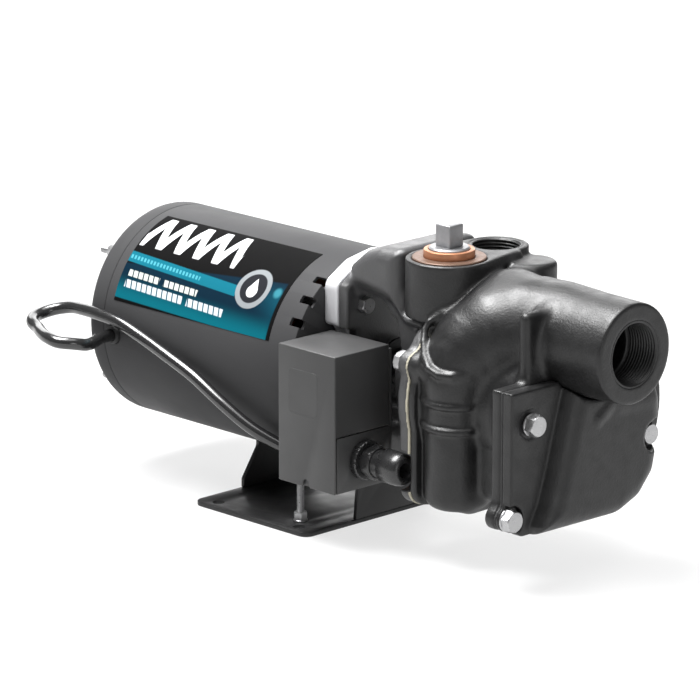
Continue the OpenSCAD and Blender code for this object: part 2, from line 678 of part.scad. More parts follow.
pivot_x = switch_x0 + 12;
pivot_z = split_z + 12;
module contact_block() color("#23262b") {
    block([switch_x0 + 6, in_y - 20, split_z + 20], [switch_x0 + 45, in_y - 2, split_z + 36]);
    for (y = [in_y - 26, in_y - 5]) difference() {
        block([pivot_x - 5, y, split_z], [pivot_x + 5, y + 3, split_z + 20]);
        translate([pivot_x, y - 1, pivot_z]) rotate([-90, 0, 0]) cylinder(r = 1.6, h = 5);
    }
    block([pivot_x - 5, in_y - 26, split_z - 4], [pivot_x + 5, in_y - 2, split_z]);
    block([switch_x0 + 6, in_y - 26, split_z + 20], [switch_x0 + 18, in_y - 19, split_z + 26]);
}

module contact_lever() color("#c7a560") {
    block([pivot_x - 4, in_y - 21, pivot_z - 1], [switch_x0 + 44, in_y - 7, pivot_z + 1]);
    translate([pivot_x, in_y - 22.5, pivot_z]) rotate([-90, 0, 0]) cylinder(r = 3, h = 16.5);
    translate([pivot_x, in_y - 25.5, pivot_z]) rotate([-90, 0, 0]) cylinder(r = 1.55, h = 23);
    for (y = [in_y - 18, in_y - 10]) translate([switch_x0 + 40, y, pivot_z]) cylinder(r = 2.2, h = 3);
}

plunger_x = switch_x0 + 30;
plunger_y = in_y - 14;
module switch_plunger() color("#c2c5c8") {
    translate([plunger_x, plunger_y, switch_z + 16]) cylinder(r = 2.5, h = pivot_z - 1.3 - switch_z - 16);
    translate([plunger_x, plunger_y, switch_z + 14.5]) cylinder(r = 9, h = 2);
}

module diaphragm_housing() color("#8d9094") difference() {
    translate([plunger_x, plunger_y, switch_z + 2]) cylinder(r = 12, h = 23);
    translate([plunger_x, plunger_y, switch_z + 12]) cylinder(r = 10, h = 9);
    translate([plunger_x, plunger_y, switch_z + 20]) cylinder(r = 2.5 + slip, h = 6);
    rod_x(1.5, plunger_x, plunger_x + 14, tap_tube.x, tap_tube.y);
}

spring_x = switch_x0 + 30;
spring_y = in_y - 36;
module range_spring() color("#9a9da1") translate([spring_x, spring_y, 0]) difference() {
    translate([0, 0, switch_z + 14]) cylinder(r = 7, h = 42);
    translate([0, 0, switch_z + 13]) cylinder(r = 4.6, h = 44);
}

module range_nut() color("#c2c5c8") translate([spring_x, spring_y, 0]) {
    translate([0, 0, switch_z + 2]) cylinder(r = 2.9, h = 72);
    translate([0, 0, switch_z + 2]) cylinder(r = 9, h = 12);
    translate([0, 0, switch_z + 56]) cylinder(r = 6.4, h = 6, $fn = 6);
}

module terminal_screws() color("#c7a560") for (i = [0:3])
    translate([switch_x0 + 11 + 9.5 * i, in_y - 11, split_z + 36]) cylinder(r = 3, h = 3);

module pressure_tube() color("#b8704a") tube_x(3, 1.6, switch_x1 + 4, tube_end_x, tap_tube.x, tap_tube.y);

module tube_fittings() color("#b59a55") {
    tube_x(3, 1.6, plunger_x + 11.5, switch_x1 + 4, tap_tube.x, tap_tube.y);
    difference() {
        hex_x(10, switch_x1, switch_x1 + 8, tap_tube.x, tap_tube.y);
        rod_x(3, switch_x1 - 1, switch_x1 + 9, tap_tube.x, tap_tube.y);
    }
}

connector_end = switch_x1 + 38;
module cable_connector() color("#2a2a2c") difference() {
    union() {
        rod_x(7, switch_x1 - 8, switch_x1 + 8, connector_at.x, connector_at.y);
        rod_x(12.8, switch_x1, switch_x1 + 5, connector_at.x, connector_at.y);
        rod_x(9, switch_x1 + 4, switch_x1 + 21, connector_at.x, connector_at.y);
        hex_x(20, switch_x1 + 8, switch_x1 + 14, connector_at.x, connector_at.y);
        rod_x(10.8, switch_x1 + 20, connector_end, connector_at.x, connector_at.y);
    }
    rod_x(5, switch_x1 - 9, connector_end + 1, connector_at.x, connector_at.y);
}

module connector_locknut() color("#2a2a2c") difference() {
    hex_x(17, switch_x1 - 6, switch_x1 - 2, connector_at.x, connector_at.y);
    rod_x(7.1, switch_x1 - 7, switch_x1 - 1, connector_at.x, connector_at.y);
}

bracket_top = switch_z;
module switch_bracket() color("#3a3b3e") difference() {
    block([23, -67, bracket_top - 2], [switch_x0 + 40, -46, bracket_top]);
    translate([support_at.x, support_at.y, bracket_top - 3]) cylinder(r = support_r + 0.1, h = 4);
    for (x = [-1, 1]) translate([switch_x0 + 10 + 5 * x, -54, bracket_top - 3]) cylinder(r = 2.1, h = 4);
}

module support_bolt() color("#dfe1e3") {
    translate([support_at.x, support_at.y, 0.4]) cylinder(r = support_r, h = bracket_top + 1.6);
    translate([support_at.x, support_at.y, base_t]) cylinder(r = 4.6, h = 1.2);
    for (x = [-1, 1]) translate([switch_x0 + 10 + 5 * x, -54, bracket_top - 4.5]) {
        cylinder(r = 3.5, h = 2.5);
        cylinder(r = 2, h = 8);
    }
}

module support_nuts() color("#dfe1e3") difference() {
    union() {
        translate([support_at.x, support_at.y, base_t + 1.2]) cylinder(r = 4.6, h = 5, $fn = 6);
        translate([support_at.x, support_at.y, bracket_top - 6.5]) cylinder(r = 4.6, h = 4.5, $fn = 6);
    }
    translate([support_at.x, support_at.y, 0]) cylinder(r = support_r, h = 60);
}

base_plate();
rear_riser();
front_riser();
base_bolts();
motor_shell();
motor_rear_cap();
motor_end_bell();
motor_through_bolts();
bell_bolts();
stator_core();
stator_windings();
rotor_core();
motor_shaft();
cooling_fan();
front_bearing();
rear_bearing();
water_slinger();
motor_label();
lead_grommet();
motor_lead();
lead_bushing();
adapter_bracket();
casing_gasket();
casing_bolts();
seal_seat();
seal_head();
impeller();
diffuser();
diffuser_ring();
venturi();
nozzle();
pump_casing();
front_cover();
cover_gasket();
cover_bolts();
drain_plug();
priming_bushing();
priming_plug();
switch_base();
switch_cover();
contact_block();
contact_lever();
switch_plunger();
diaphragm_housing();
range_spring();
range_nut();
terminal_screws();
pressure_tube();
tube_fittings();
cable_connector();
connector_locknut();
switch_bracket();
support_bolt();
support_nuts();
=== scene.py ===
import json
import math

import bmesh
import bpy
import numpy as np
from mathutils import Matrix, Vector


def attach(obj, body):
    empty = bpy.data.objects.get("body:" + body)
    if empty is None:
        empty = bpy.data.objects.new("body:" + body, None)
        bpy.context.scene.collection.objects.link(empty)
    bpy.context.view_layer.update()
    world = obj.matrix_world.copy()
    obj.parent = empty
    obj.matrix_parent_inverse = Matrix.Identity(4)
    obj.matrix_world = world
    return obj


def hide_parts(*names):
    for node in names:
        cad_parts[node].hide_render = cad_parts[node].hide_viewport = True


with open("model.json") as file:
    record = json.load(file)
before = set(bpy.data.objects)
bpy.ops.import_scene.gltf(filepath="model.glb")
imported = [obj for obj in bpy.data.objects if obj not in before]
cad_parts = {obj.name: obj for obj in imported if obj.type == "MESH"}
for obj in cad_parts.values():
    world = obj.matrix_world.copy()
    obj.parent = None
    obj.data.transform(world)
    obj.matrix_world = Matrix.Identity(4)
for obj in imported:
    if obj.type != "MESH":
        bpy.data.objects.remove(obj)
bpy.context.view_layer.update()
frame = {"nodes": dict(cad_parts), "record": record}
MM = 0.001
SHAFT_Z = 100.0
AXIS = (0, SHAFT_Z)


def put(node, values):
    """Sets a shader node's own sockets."""
    for socket, value in values.items():
        node.inputs[socket].default_value = value


# ---------------- camera and light

CAMERA_AT = (2.2525, -2.1858, 0.9406)
LOOKS_AT = (0.01253, 0.0, 0.10193)
LENS_MM = 257.14


def aim(obj, at, target):
    obj.location = at
    obj.rotation_euler = (Vector(target) - Vector(at)).to_track_quat("-Z", "Y").to_euler()


def link(name, data):
    obj = bpy.data.objects.new(name, data)
    bpy.context.scene.collection.objects.link(obj)
    return obj


def add_camera():
    data = bpy.data.cameras.new("camera")
    data.lens = LENS_MM
    data.sensor_width = 36
    data.clip_end = 50
    cam = link("camera", data)
    aim(cam, CAMERA_AT, LOOKS_AT)
    bpy.context.scene.camera = cam


def add_softbox(name, at, target, size, power):
    data = bpy.data.lights.new(name, "AREA")
    data.shape = "RECTANGLE"
    data.size, data.size_y = size
    data.energy = power
    aim(link(name, data), at, target)


def add_lights():
    scene = bpy.context.scene
    scene.view_settings.view_transform = "Standard"
    scene.world = bpy.data.worlds.new("studio")
    scene.world.use_nodes = True
    put(scene.world.node_tree.nodes["Background"], {"Color": (1, 1, 1, 1), "Strength": 0.2})
    sun = bpy.data.lights.new("overhead", "SUN")
    sun.energy = 2.4
    sun.angle = math.radians(60)
    aim(link("overhead", sun), (0, 0, 3), (0.15, 0.1, 0))
    add_softbox("key_box", (-0.42, -0.25, 1.5), (0.03, 0, 0.15), (1.0, 0.8), 62)
    add_softbox("side_box", (2.4, -0.9, 0.7), (0.05, 0, 0.1), (0.8, 0.8), 6)
    add_softbox("back_box", (-2.3, 2.2, 1.25), (0.05, 0, 0.15), (3.2, 1.5), 52)


def add_floor():
    bpy.ops.mesh.primitive_plane_add(size=14)
    floor = bpy.context.object
    floor.name = "floor"
    mat = bpy.data.materials.new("pale_floor")
    mat.use_nodes = True
    put(mat.node_tree.nodes["Principled BSDF"], {
        "Base Color": (0.2, 0.2, 0.2, 1), "Roughness": 0.7, "Specular IOR Level": 0.2,
        "Emission Color": (1, 1, 1, 1), "Emission Strength": 0.72,
    })
    floor.data.materials.append(mat)


add_camera()
add_lights()
add_floor()


# ---------------- materials

MATERIALS = {}


def mixed(tree, factor, *colours):
    """The second colour over the first, by a factor. Each colour is a socket or three numbers."""
    n = tree.nodes.new("ShaderNodeMix")
    n.data_type = "RGBA"
    tree.links.new(factor, n.inputs[0])
    for i, colour in zip((6, 7), colours):
        if isinstance(colour, tuple):
            put(n, {i: (*colour, 1)})
        else:
            tree.links.new(colour, n.inputs[i])
    return n.outputs[2]


def finish(
    name, low, high, rough,
    metallic=0.0, grain=1.0, depth=0.05, blotch=30.0, level=0.5, fine=0.0, streaks=None,
):
    """A procedural finish that drifts between two colours and two values of roughness. In millimetres,
    blotch is the drift's scale, grain and depth are the size and height of the surface's grain, and fine is
    the height of a second, finer grain. streaks squeezes the noise along X."""
    mat = bpy.data.materials.new(name)
    mat.use_nodes = True
    tree = mat.node_tree
    wire = tree.links.new
    shader = tree.nodes["Principled BSDF"]
    put(shader, {"Metallic": metallic, "Specular IOR Level": level})
    source = tree.nodes.new("ShaderNodeTexCoord").outputs["Object"]
    if streaks:
        squeeze = tree.nodes.new("ShaderNodeMapping")
        put(squeeze, {"Scale": streaks})
        wire(source, squeeze.inputs["Vector"])
        source = squeeze.outputs["Vector"]

    def noise(size_mm, detail=3.0):
        n = tree.nodes.new("ShaderNodeTexNoise")
        put(n, {"Scale": 1000.0 / size_mm, "Detail": detail})
        wire(source, n.inputs["Vector"])
        return n.outputs["Fac"]

    wire(mixed(tree, noise(blotch, 5.0), low, high), shader.inputs["Base Color"])
    spread = tree.nodes.new("ShaderNodeMapRange")
    put(spread, {"From Min": 0.3, "From Max": 0.7, "To Min": rough[0], "To Max": rough[1]})
    wire(noise(blotch * 0.37), spread.inputs["Value"])
    wire(spread.outputs["Result"], shader.inputs["Roughness"])
    bump = tree.nodes.new("ShaderNodeBump")
    put(bump, {"Distance": depth * MM, "Strength": 1.0})
    wire(noise(grain), bump.inputs["Height"])
    if fine:
        second = tree.nodes.new("ShaderNodeBump")
        put(second, {"Distance": fine * MM})
        wire(noise(grain * 0.3), second.inputs["Height"])
        wire(bump.outputs["Normal"], second.inputs["Normal"])
        bump = second
    wire(bump.outputs["Normal"], shader.inputs["Normal"])
    MATERIALS[name] = mat
    return mat


def grey(v, tint=1.03):
    return (v, v, v * tint)


finish("black_stamped_steel", grey(0.010), grey(0.018), (0.38, 0.5), grain=0.9, depth=0.02, level=0.4)
finish("shell_paint", grey(0.045), grey(0.055), (0.46, 0.54), grain=0.7, depth=0.01, blotch=60, level=0.06)
finish(
    "cast_iron_paint", grey(0.006), grey(0.011), (0.36, 0.48),
    grain=1.5, depth=0.16, blotch=22, fine=0.04,
)
# painted light: a lighter copy of the casting's black paint, standing in for the light that the bracket's
# arch catches
finish(
    "bracket_painted_light", grey(0.04), grey(0.056), (0.36, 0.48),
    grain=1.5, depth=0.16, blotch=22, level=0.7, fine=0.04,
)
finish(
    "cast_aluminium", grey(0.62), grey(0.76), (0.4, 0.55),
    metallic=0.35, grain=1.2, depth=0.12, fine=0.03,
)
finish(
    "zinc_fasteners", grey(0.36), grey(0.5, 1.0), (0.26, 0.38),
    metallic=0.85, grain=0.8, depth=0.02, blotch=6,
)
finish("ground_steel", grey(0.5), grey(0.6), (0.2, 0.3), metallic=1.0, grain=0.5, depth=0.01)
finish(
    "lamination_steel", grey(0.2), grey(0.3), (0.4, 0.5),
    metallic=0.9, grain=0.5, depth=0.06, streaks=(20, 1, 1,
)
)
finish("copper_winding", (0.4, 0.12, 0.04), (0.6, 0.2, 0.07), (0.3, 0.45), metallic=0.6, depth=0.3)
finish(
    "bronze", (0.36, 0.14, 0.07), (0.55, 0.27, 0.15), (0.35, 0.5),
    metallic=0.7, grain=1.3, depth=0.08, blotch=8,
)
# a darker copy of the bronze, for the bushing's flange down in the boss's recess
finish(
    "bronze_darker", (0.09, 0.055, 0.038), (0.16, 0.09, 0.06), (0.4, 0.55),
    metallic=0.4, grain=1.3, depth=0.08, blotch=8,
)
finish("switch_paint", grey(0.038, 1.01), grey(0.048, 1.01), (0.42, 0.5), grain=0.8, depth=0.012, blotch=40)
finish("lead_jacket", grey(0.012), grey(0.016), (0.16, 0.22), grain=0.6, depth=0.004, blotch=15, level=0.8)
finish("black_plastic", grey(0.012), grey(0.018), (0.35, 0.45), grain=0.7, depth=0.01, blotch=15)
finish("black_rubber", grey(0.012), grey(0.02), (0.55, 0.65), grain=0.7, depth=0.02, blotch=15)
finish("ivory_plastic", (0.55, 0.47, 0.3), (0.66, 0.58, 0.4), (0.35, 0.45), grain=0.8, depth=0.01)
finish("gasket_fibre", (0.34, 0.32, 0.25), (0.44, 0.41, 0.32), (0.7, 0.85), grain=0.6, depth=0.05, blotch=5)
finish("seal_ceramic", (0.7, 0.68, 0.62), (0.8, 0.78, 0.72), (0.2, 0.3), grain=0.5, depth=0.005)
finish("connector_paint", grey(0.012), grey(0.02), (0.25, 0.34), grain=0.9, depth=0.02, blotch=10, level=0.6)
finish(
    "brass_fitting", (0.5, 0.36, 0.14), (0.62, 0.46, 0.2), (0.25, 0.4), metallic=0.9, grain=0.8, depth=0.02
)
finish("plug_steel", grey(0.22), grey(0.34), (0.35, 0.5), metallic=0.7, grain=1.2, depth=0.08, blotch=7)


# ---------------- mesh helpers

def raw_mesh(name, verts, faces):
    mesh = bpy.data.meshes.new(name)
    mesh.from_pydata([tuple(v) for v in verts], [], [tuple(f) for f in faces])
    mesh.update()
    return mesh


def piece(name, mesh, slot, *replaces, angle=40, body="pump", material=None):
    """A finished piece from a mesh in metres, smooth where its faces meet at less than angle degrees. It
    stands for the CAD nodes in replaces. Its finish has its slot's name, unless material names another."""
    obj = link(name, mesh)
    mesh.materials.clear()
    mesh.materials.append(MATERIALS[material or slot])
    for p in mesh.polygons:
        p.use_smooth = True
    if angle is not None:
        mesh.set_sharp_from_angle(angle=math.radians(angle))
    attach(obj, body)
    if replaces:
        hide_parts(*replaces)
    return obj


def to_mesh(bm, name="made"):
    bmesh.ops.recalc_face_normals(bm, faces=bm.faces)
    mesh = bpy.data.meshes.new(name)
    bm.to_mesh(mesh)
    bm.free()
    return mesh


def joined(*meshes):
    """One mesh out of several."""
    bm = bmesh.new()
    for m in meshes:
        bm.from_mesh(m)
    return to_mesh(bm)


def solid(verts, faces):
    """A mesh from points in millimetres, its faces turned outwards."""
    return joined(raw_mesh("raw", np.array(verts) * MM, faces))


def with_modifiers(mesh, *settings):
    """The mesh after Blender's modifiers: each setting is (type, {name: value})."""
    obj = link("scratch", mesh)
    for kind, values in settings:
        mod = obj.modifiers.new(kind, kind)
        for key, value in values.items():
            setattr(mod, key, value)
    graph = bpy.context.evaluated_depsgraph_get()
    made = bpy.data.meshes.new_from_object(obj.evaluated_get(graph))
    bpy.data.objects.remove(obj)
    return made


def rounded(mesh, width_mm, segments=3, angle=35):
    return with_modifiers(mesh, ("BEVEL", {
        "width": width_mm * MM, "segments": segments, "limit_method": "ANGLE",
        "angle_limit": math.radians(angle), "harden_normals": False,
    }))


def less(mesh, *cutters):
    """The mesh with the cutters taken away."""
    tool = link("cutter", joined(*cutters))
    made = with_modifiers(mesh, ("BOOLEAN", {
        "operation": "DIFFERENCE", "object": tool, "solver": "EXACT", "use_self": True,
    }))
    bpy.data.objects.remove(tool)
    return made


def spot(axis, centre, along, radius=0.0, angle=0.0):
    """A point at a radius and an angle round an axis through centre, in millimetres."""
    x = "XYZ".index(axis)
    p = [float(c) for c in centre]
    p[x] += along
    p[(x + 1) % 3] += radius * math.cos(angle)
    p[(x + 2) % 3] += radius * math.sin(angle)
    return p


def turned(axis, centre, profile, segments=64):
    """A profile [(along, radius)] in millimetres turned round an axis through centre. It joins up with its
    own start, unless it begins or ends on the axis."""
    verts, rows = [], []
    for along, radius in profile:
        count = segments if radius > 0 else 1
        rows.append(range(len(verts), len(verts) + count))
        verts += [spot(axis, centre, along, radius, 2 * math.pi * k / segments) for k in range(count)]
    faces = []
    closed = len(rows[0]) > 1 and len(rows[-1]) > 1
    for a, b in zip(rows, rows[1:] + rows[:1] if closed else rows[1:]):
        for k in range(segments):
            j = (k + 1) % segments
            if len(a) == 1:
                faces.append((a[0], b[j], b[k]))
            elif len(b) == 1:
                faces.append((a[k], a[j], b[0]))
            else:
                faces.append((a[k], a[j], b[j], b[k]))
    return solid(verts, faces)


def prism(axis, outline, lo, hi):
    """An outline in millimetres (Y,Z for axis X; X,Z for Y; X,Y for Z) given thickness from lo to hi."""
    def place(p, h):
        u, v = p
        return {"X": (h, u, v), "Y": (u, h, v), "Z": (u, v, h)}[axis]
    n = len(outline)
    verts = [place(p, lo) for p in outline] + [place(p, hi) for p in outline]
    faces = [tuple(range(n - 1, -1, -1)), tuple(range(n, 2 * n))]
    faces += [(i, (i + 1) % n, n + (i + 1) % n, n + i) for i in range(n)]
    return solid(verts, faces)


def block(lo, hi):
    return prism("Z", [(lo[0], lo[1]), (hi[0], lo[1]), (hi[0], hi[1]), (lo[0], hi[1])], lo[2], hi[2])


def fillet(points, radii, steps=6):
    """An outline with each corner rounded by its radius."""
    out = []
    n = len(points)
    radii = radii if hasattr(radii, "__len__") else [radii] * n
    for i in range(n):
        p = np.array(points[i], float)
        a = np.array(points[i - 1], float) - p
        b = np.array(points[(i + 1) % n], float) - p
        la, lb = np.linalg.norm(a), np.linalg.norm(b)
        a, b = a / la, b / lb
        half = math.acos(max(-1, min(1, float(a @ b)))) / 2
        r = radii[i]
        if r <= 0 or half > math.pi / 2 - 0.02:
            out.append(tuple(p))
            continue
        back = min(r / math.tan(half), la * 0.49, lb * 0.49)
        r = back * math.tan(half)
        mid = (a + b) / np.linalg.norm(a + b)
        c = p + mid * (r / math.sin(half))
        s, e = p + a * back - c, p + b * back - c
        total = math.pi - 2 * half
        sign = 1 if s[0] * e[1] - s[1] * e[0] > 0 else -1
        for k in range(steps + 1):
            t = sign * total * k / steps
            cos, sin = math.cos(t), math.sin(t)
            out.append((c[0] + s[0] * cos - s[1] * sin, c[1] + s[0] * sin + s[1] * cos))
    return out


def tube_faces(rows, sides):
    """The walls between rings of points that follow on each other."""
    return [
        (i * sides + k, i * sides + (k + 1) % sides, (i + 1) * sides + (k + 1) % sides, (i + 1) * sides + k)
        for i in range(rows - 1)
        for k in range(sides)
    ]


def end_faces(rows, sides):
    return [tuple(range(sides - 1, -1, -1)), tuple((rows - 1) * sides + k for k in range(sides))]


def sweep(points, radius, sides):
    """A closed tube along points in millimetres, without twist."""
    points = np.array(points, float)
    n = len(points)
    tangent = np.gradient(points, axis=0)
    tangent /= np.linalg.norm(tangent, axis=1)[:, None]
    side = np.cross(tangent[0], (0.1, 0.2, 1))
    rings = []
    for i in range(n):
        side = side - tangent[i] * (side @ tangent[i])
        side = side / np.linalg.norm(side)
        lift = np.cross(side, tangent[i])
        for k in range(sides):
            a = 2 * math.pi * k / sides
            rings.append(points[i] + radius * (math.cos(a) * side + math.sin(a) * lift))
    return solid(rings, tube_faces(n, sides) + end_faces(n, sides))


def smooth_route(points, steps):
    """Points of a Catmull-Rom curve through the route."""
    p = np.array(points, float)
    p = np.vstack([p[:1], p, p[-1:]])
    out = []
    for i in range(1, len(p) - 2):
        a, b, c, d = p[i - 1 : i + 3]
        for t in np.arange(steps) / steps:
            square, cube = (2 * a - 5 * b + 4 * c - d) * t**2, (3 * b - a - 3 * c + d) * t**3
            out.append(0.5 * (2 * b + (c - a) * t + square + cube))
    out.append(p[-1])
    return np.array(out)


def threaded_rod(axis, centre, radius, lo, hi, pitch, depth, sides=32):
    """A rod with a helical thread: radius is the thread's crest."""
    return thread_surface(axis, centre, lo, hi, pitch, sides, lambda w: radius - depth * w, None)


def thread_surface(axis, centre, lo, hi, pitch, sides, crest, outer):
    """A threaded surface closed by flat caps, or for an internal thread by a plain sleeve of radius outer.
    crest gives the radius, for 0 at the thread's crest to 1 at its root."""
    rows = max(4, int(round((hi - lo) / pitch * 6)))
    verts = []
    for i in range(rows + 1):
        along = lo + (hi - lo) * i / rows
        for k in range(sides):
            turn = k / sides
            wave = 1.0 if i in (0, rows) else abs(((along - lo) / pitch - turn) % 1.0 - 0.5) * 2
            verts.append(spot(axis, centre, along, crest(wave), 2 * math.pi * turn))
    faces = tube_faces(rows + 1, sides)
    if outer is None:
        return solid(verts, faces + end_faces(rows + 1, sides))
    base = len(verts)
    for along in (lo, hi):
        verts += [spot(axis, centre, along, outer, 2 * math.pi * k / sides) for k in range(sides)]
    for k in range(sides):
        j = (k + 1) % sides
        faces.append((base + k, base + sides + k, base + sides + j, base + j))
        faces.append((k, base + k, base + j, j))
        faces.append((rows * sides + k, rows * sides + j, base + sides + j, base + sides + k))
    return solid(verts, faces)


def hex_head(axis, centre, flats, lo, hi, chamfer_at="hi", turn=0.0):
    """A hexagonal head with its corners chamfered on the outer end."""
    corner = flats / math.sqrt(3)
    count = 48
    chamfer = 0.55
    rim = flats / 2 * 0.97
    verts = []
    heights = [0.0, chamfer, 0.8, 0.92, 1.0]
    for h in heights:
        along = hi - (hi - lo) * 0.3 * (1 - h) / (1 - chamfer) if h > 0 else lo
        limit = rim + (hi - along) / ((hi - lo) * 0.22) * (corner - rim)
        for k in range(count):
            a = 2 * math.pi * k / count + turn
            flat = flats / 2 / math.cos(((a - turn) % (math.pi / 3)) - math.pi / 6)
            radius = min(flat, max(limit, flats / 2 * 0.95))
            verts.append(spot(axis, centre, along if chamfer_at == "hi" else lo + hi - along, radius, a))
    return solid(verts, tube_faces(len(heights), count) + end_faces(len(heights), count))


# ---------------- cast shapes

class Casting:
    """A casting's shape as distances on a grid, in millimetres: below zero is inside."""

    def __init__(self, lo, hi, step):
        axes = [np.arange(a, b + step, step, dtype=np.float32) for a, b in zip(lo, hi)]
        self.lo, self.step = lo, step
        self.x, self.y, self.z = np.meshgrid(*axes, indexing="ij", sparse=True)
        self.d = np.full([len(a) for a in axes], 50.0, np.float32)

    def add(self, d, k=0.0):
        self.d = soft_min(self.d, d, k)

    def cut(self, d, k=0.0):
        self.d = -soft_min(-self.d, d, k)

    def keep(self, d):
        self.d = np.maximum(self.d, d)

    def rod(self, axis, centre, r, lo, hi, edge=0.0):
        a, u, v = self.split(axis)
        return self.stand(np.sqrt((u - centre[0]) ** 2 + (v - centre[1]) ** 2) - r, a, lo, hi, edge)

    def split(self, axis):
        """The coordinate along an axis, and the two across it."""
        x, y, z = self.x, self.y, self.z
        return {"X": (x, y, z), "Y": (y, x, z), "Z": (z, x, y)}[axis]

    def stand(self, flat, a, lo, hi, edge=0.0):
        """A flat distance given thickness along a."""
        return overlap([flat, slab(a, lo, hi)], edge)

    def box(self, lo, hi, edge=0.0):
        return overlap([slab(*row) for row in zip((self.x, self.y, self.z), lo, hi)], edge)

    def ball(self, c, r):
        return np.sqrt((self.x - c[0]) ** 2 + (self.y - c[1]) ** 2 + (self.z - c[2]) ** 2) - r

    def flat_outline(self, axis, points):
        """The distance to a polygon's outline in the plane across axis."""
        _, u, v = self.split(axis)
        best = None
        inside = None
        n = len(points)
        for i in range(n):
            (ax, ay), (bx, by) = points[i], points[(i + 1) % n]
            ex, ey = bx - ax, by - ay
            wx, wy = u - ax, v - ay
            t = np.clip((wx * ex + wy * ey) / (ex * ex + ey * ey), 0, 1)
            d = (wx - ex * t) ** 2 + (wy - ey * t) ** 2
            best = d if best is None else np.minimum(best, d)
            crosses = ((ay <= v) & (by > v)) | ((ay > v) & (by <= v))
            side = (u < ax + (v - ay) / (ey if abs(ey) > 1e-9 else 1e-9) * ex) & crosses
            inside = side if inside is None else inside ^ side
        return np.where(inside, -1, 1) * np.sqrt(best)

    def flat_disc(self, c, r):
        return np.sqrt((self.y - c[0]) ** 2 + (self.z - c[1]) ** 2) - r

    def drum(self, r, outline, radii):
        """The flat distance across X to a disc round the shaft joined to an outline with rounded corners."""
        return np.minimum(self.flat_disc(AXIS, r), self.flat_outline("X", fillet(outline, radii)))

    def path(self, points, radii, k=0.0):
        """Round cones from point to point."""
        out = None
        for i in range(len(points) - 1):
            a, b = np.array(points[i], float), np.array(points[i + 1], float)
            e = b - a
            t = ((self.x - a[0]) * e[0] + (self.y - a[1]) * e[1] + (self.z - a[2]) * e[2]) / float(e @ e)
            t = np.clip(t, 0, 1)
            gap = [(g - a[j] - t * e[j]) ** 2 for j, g in enumerate((self.x, self.y, self.z))]
            d = np.sqrt(gap[0] + gap[1] + gap[2]) - (radii[i] + (radii[i + 1] - radii[i]) * t)
            out = d if out is None else soft_min(out, d, k)
        return out

    def skin(self):
        """The surface as a mesh in metres: one vertex in each cell that it crosses."""
        d = self.d
        inside = d < 0
        shape = [n - 1 for n in d.shape]
        count = np.zeros(shape, np.int8)
        corners = [(i, j, k) for i in (0, 1) for j in (0, 1) for k in (0, 1)]
        for i, j, k in corners:
            count += inside[i : i + shape[0], j : j + shape[1], k : k + shape[2]]
        cells = np.argwhere((count > 0) & (count < 8))
        index = np.full(shape, -1, np.int64)
        index[tuple(cells.T)] = np.arange(len(cells))
        value = {c: d[tuple((cells + c).T)] for c in corners}
        total = np.zeros((len(cells), 3))
        hits = np.zeros(len(cells))
        for a in corners:
            for axis in range(3):
                if a[axis]:
                    continue
                b = list(a)
                b[axis] = 1
                va, vb = value[a], value[tuple(b)]
                crosses = (va < 0) != (vb < 0)
                t = np.where(crosses, va / np.where(crosses, va - vb, 1), 0)
                hit = np.tile(np.array(a, float), (len(cells), 1))
                hit[:, axis] += t
                total += hit * crosses[:, None]
                hits += crosses
        verts = (cells + total / hits[:, None]) * self.step + np.array(self.lo)
        quads = []
        for axis in range(3):
            u, v = [(1, 2), (2, 0), (0, 1)][axis]
            along = np.moveaxis(inside, axis, 0)
            a, b = (np.moveaxis(part, 0, axis) for part in (along[:-1], along[1:]))
            edges = np.argwhere(a != b)
            across = edges[:, [u, v]]
            edges = edges[((across > 0) & (across < (shape[u], shape[v]))).all(1)]
            out = a[tuple(edges.T)]
            du, dv = np.eye(3, dtype=int)[u], np.eye(3, dtype=int)[v]
            four = [index[tuple((edges - p).T)] for p in (du * 0, du, du + dv, dv)]
            quad = np.stack(four, 1)
            quad[~out] = quad[~out][:, ::-1]
            quads.append(quad)
        quads = np.vstack(quads)
        mesh = bpy.data.meshes.new("casting")
        mesh.vertices.add(len(verts))
        mesh.vertices.foreach_set("co", (verts * MM).astype(np.float32).ravel())
        mesh.loops.add(quads.size)
        mesh.loops.foreach_set("vertex_index", quads.ravel().astype(np.int32))
        mesh.polygons.add(len(quads))
        mesh.polygons.foreach_set("loop_start", np.arange(0, quads.size, 4, dtype=np.int32))
        mesh.update(calc_edges=True)
        mesh.validate()
        return mesh


def slab(a, lo, hi):
    return np.abs(a - (lo + hi) / 2) - (hi - lo) / 2


def overlap(parts, edge):
    """The distance to where the parts overlap, its corners rounded by edge."""
    square, deepest = 0, -np.inf
    for p in parts:
        square = square + np.maximum(p + edge, 0) ** 2
        deepest = np.maximum(deepest, p + edge)
    return np.sqrt(square) + np.minimum(deepest, 0) - edge


def soft_min(a, b, k):
    low = np.minimum(a, b)
    if k <= 0:
        return low
    return low - np.maximum(k - np.abs(a - b), 0) ** 2 / (4 * k)


def cast(name, node, casting, rounds, factor, slot="cast_iron_paint", material=None):
    """The casting's piece. Its vertices are evened out, which takes away the grid's steps."""
    mesh = with_modifiers(casting.skin(), ("SMOOTH", {"factor": factor, "iterations": rounds}))
    piece(name, mesh, slot, node, angle=None, material=material)


# ---------------- pump casing

TUBE_Z = 147.0
PORT_FACE_X = 262.0
COVER_SEAT_X = 216.0
CASING_FOOT_Z = 27.0
NEAR_TAP, FAR_TAP = (123.0, -21.0), (119.0, 25.0)
RIM_Z = 187.5
SWELL = (153.5, -44.0)
COVER_BOLTS = [(-52, 105), (-67, 46), (50, 80)]
CASING_BOLTS = [(-28, 43), (-56, 125), (43, 57), (45, 141)]
BELL_BOLTS = [(y, SHAFT_Z + z) for y in (-25, 25) for z in (-26, 44)]
CONNECTOR_AT = (0, -60, 56)
DRAIN_AT = (190, 0)


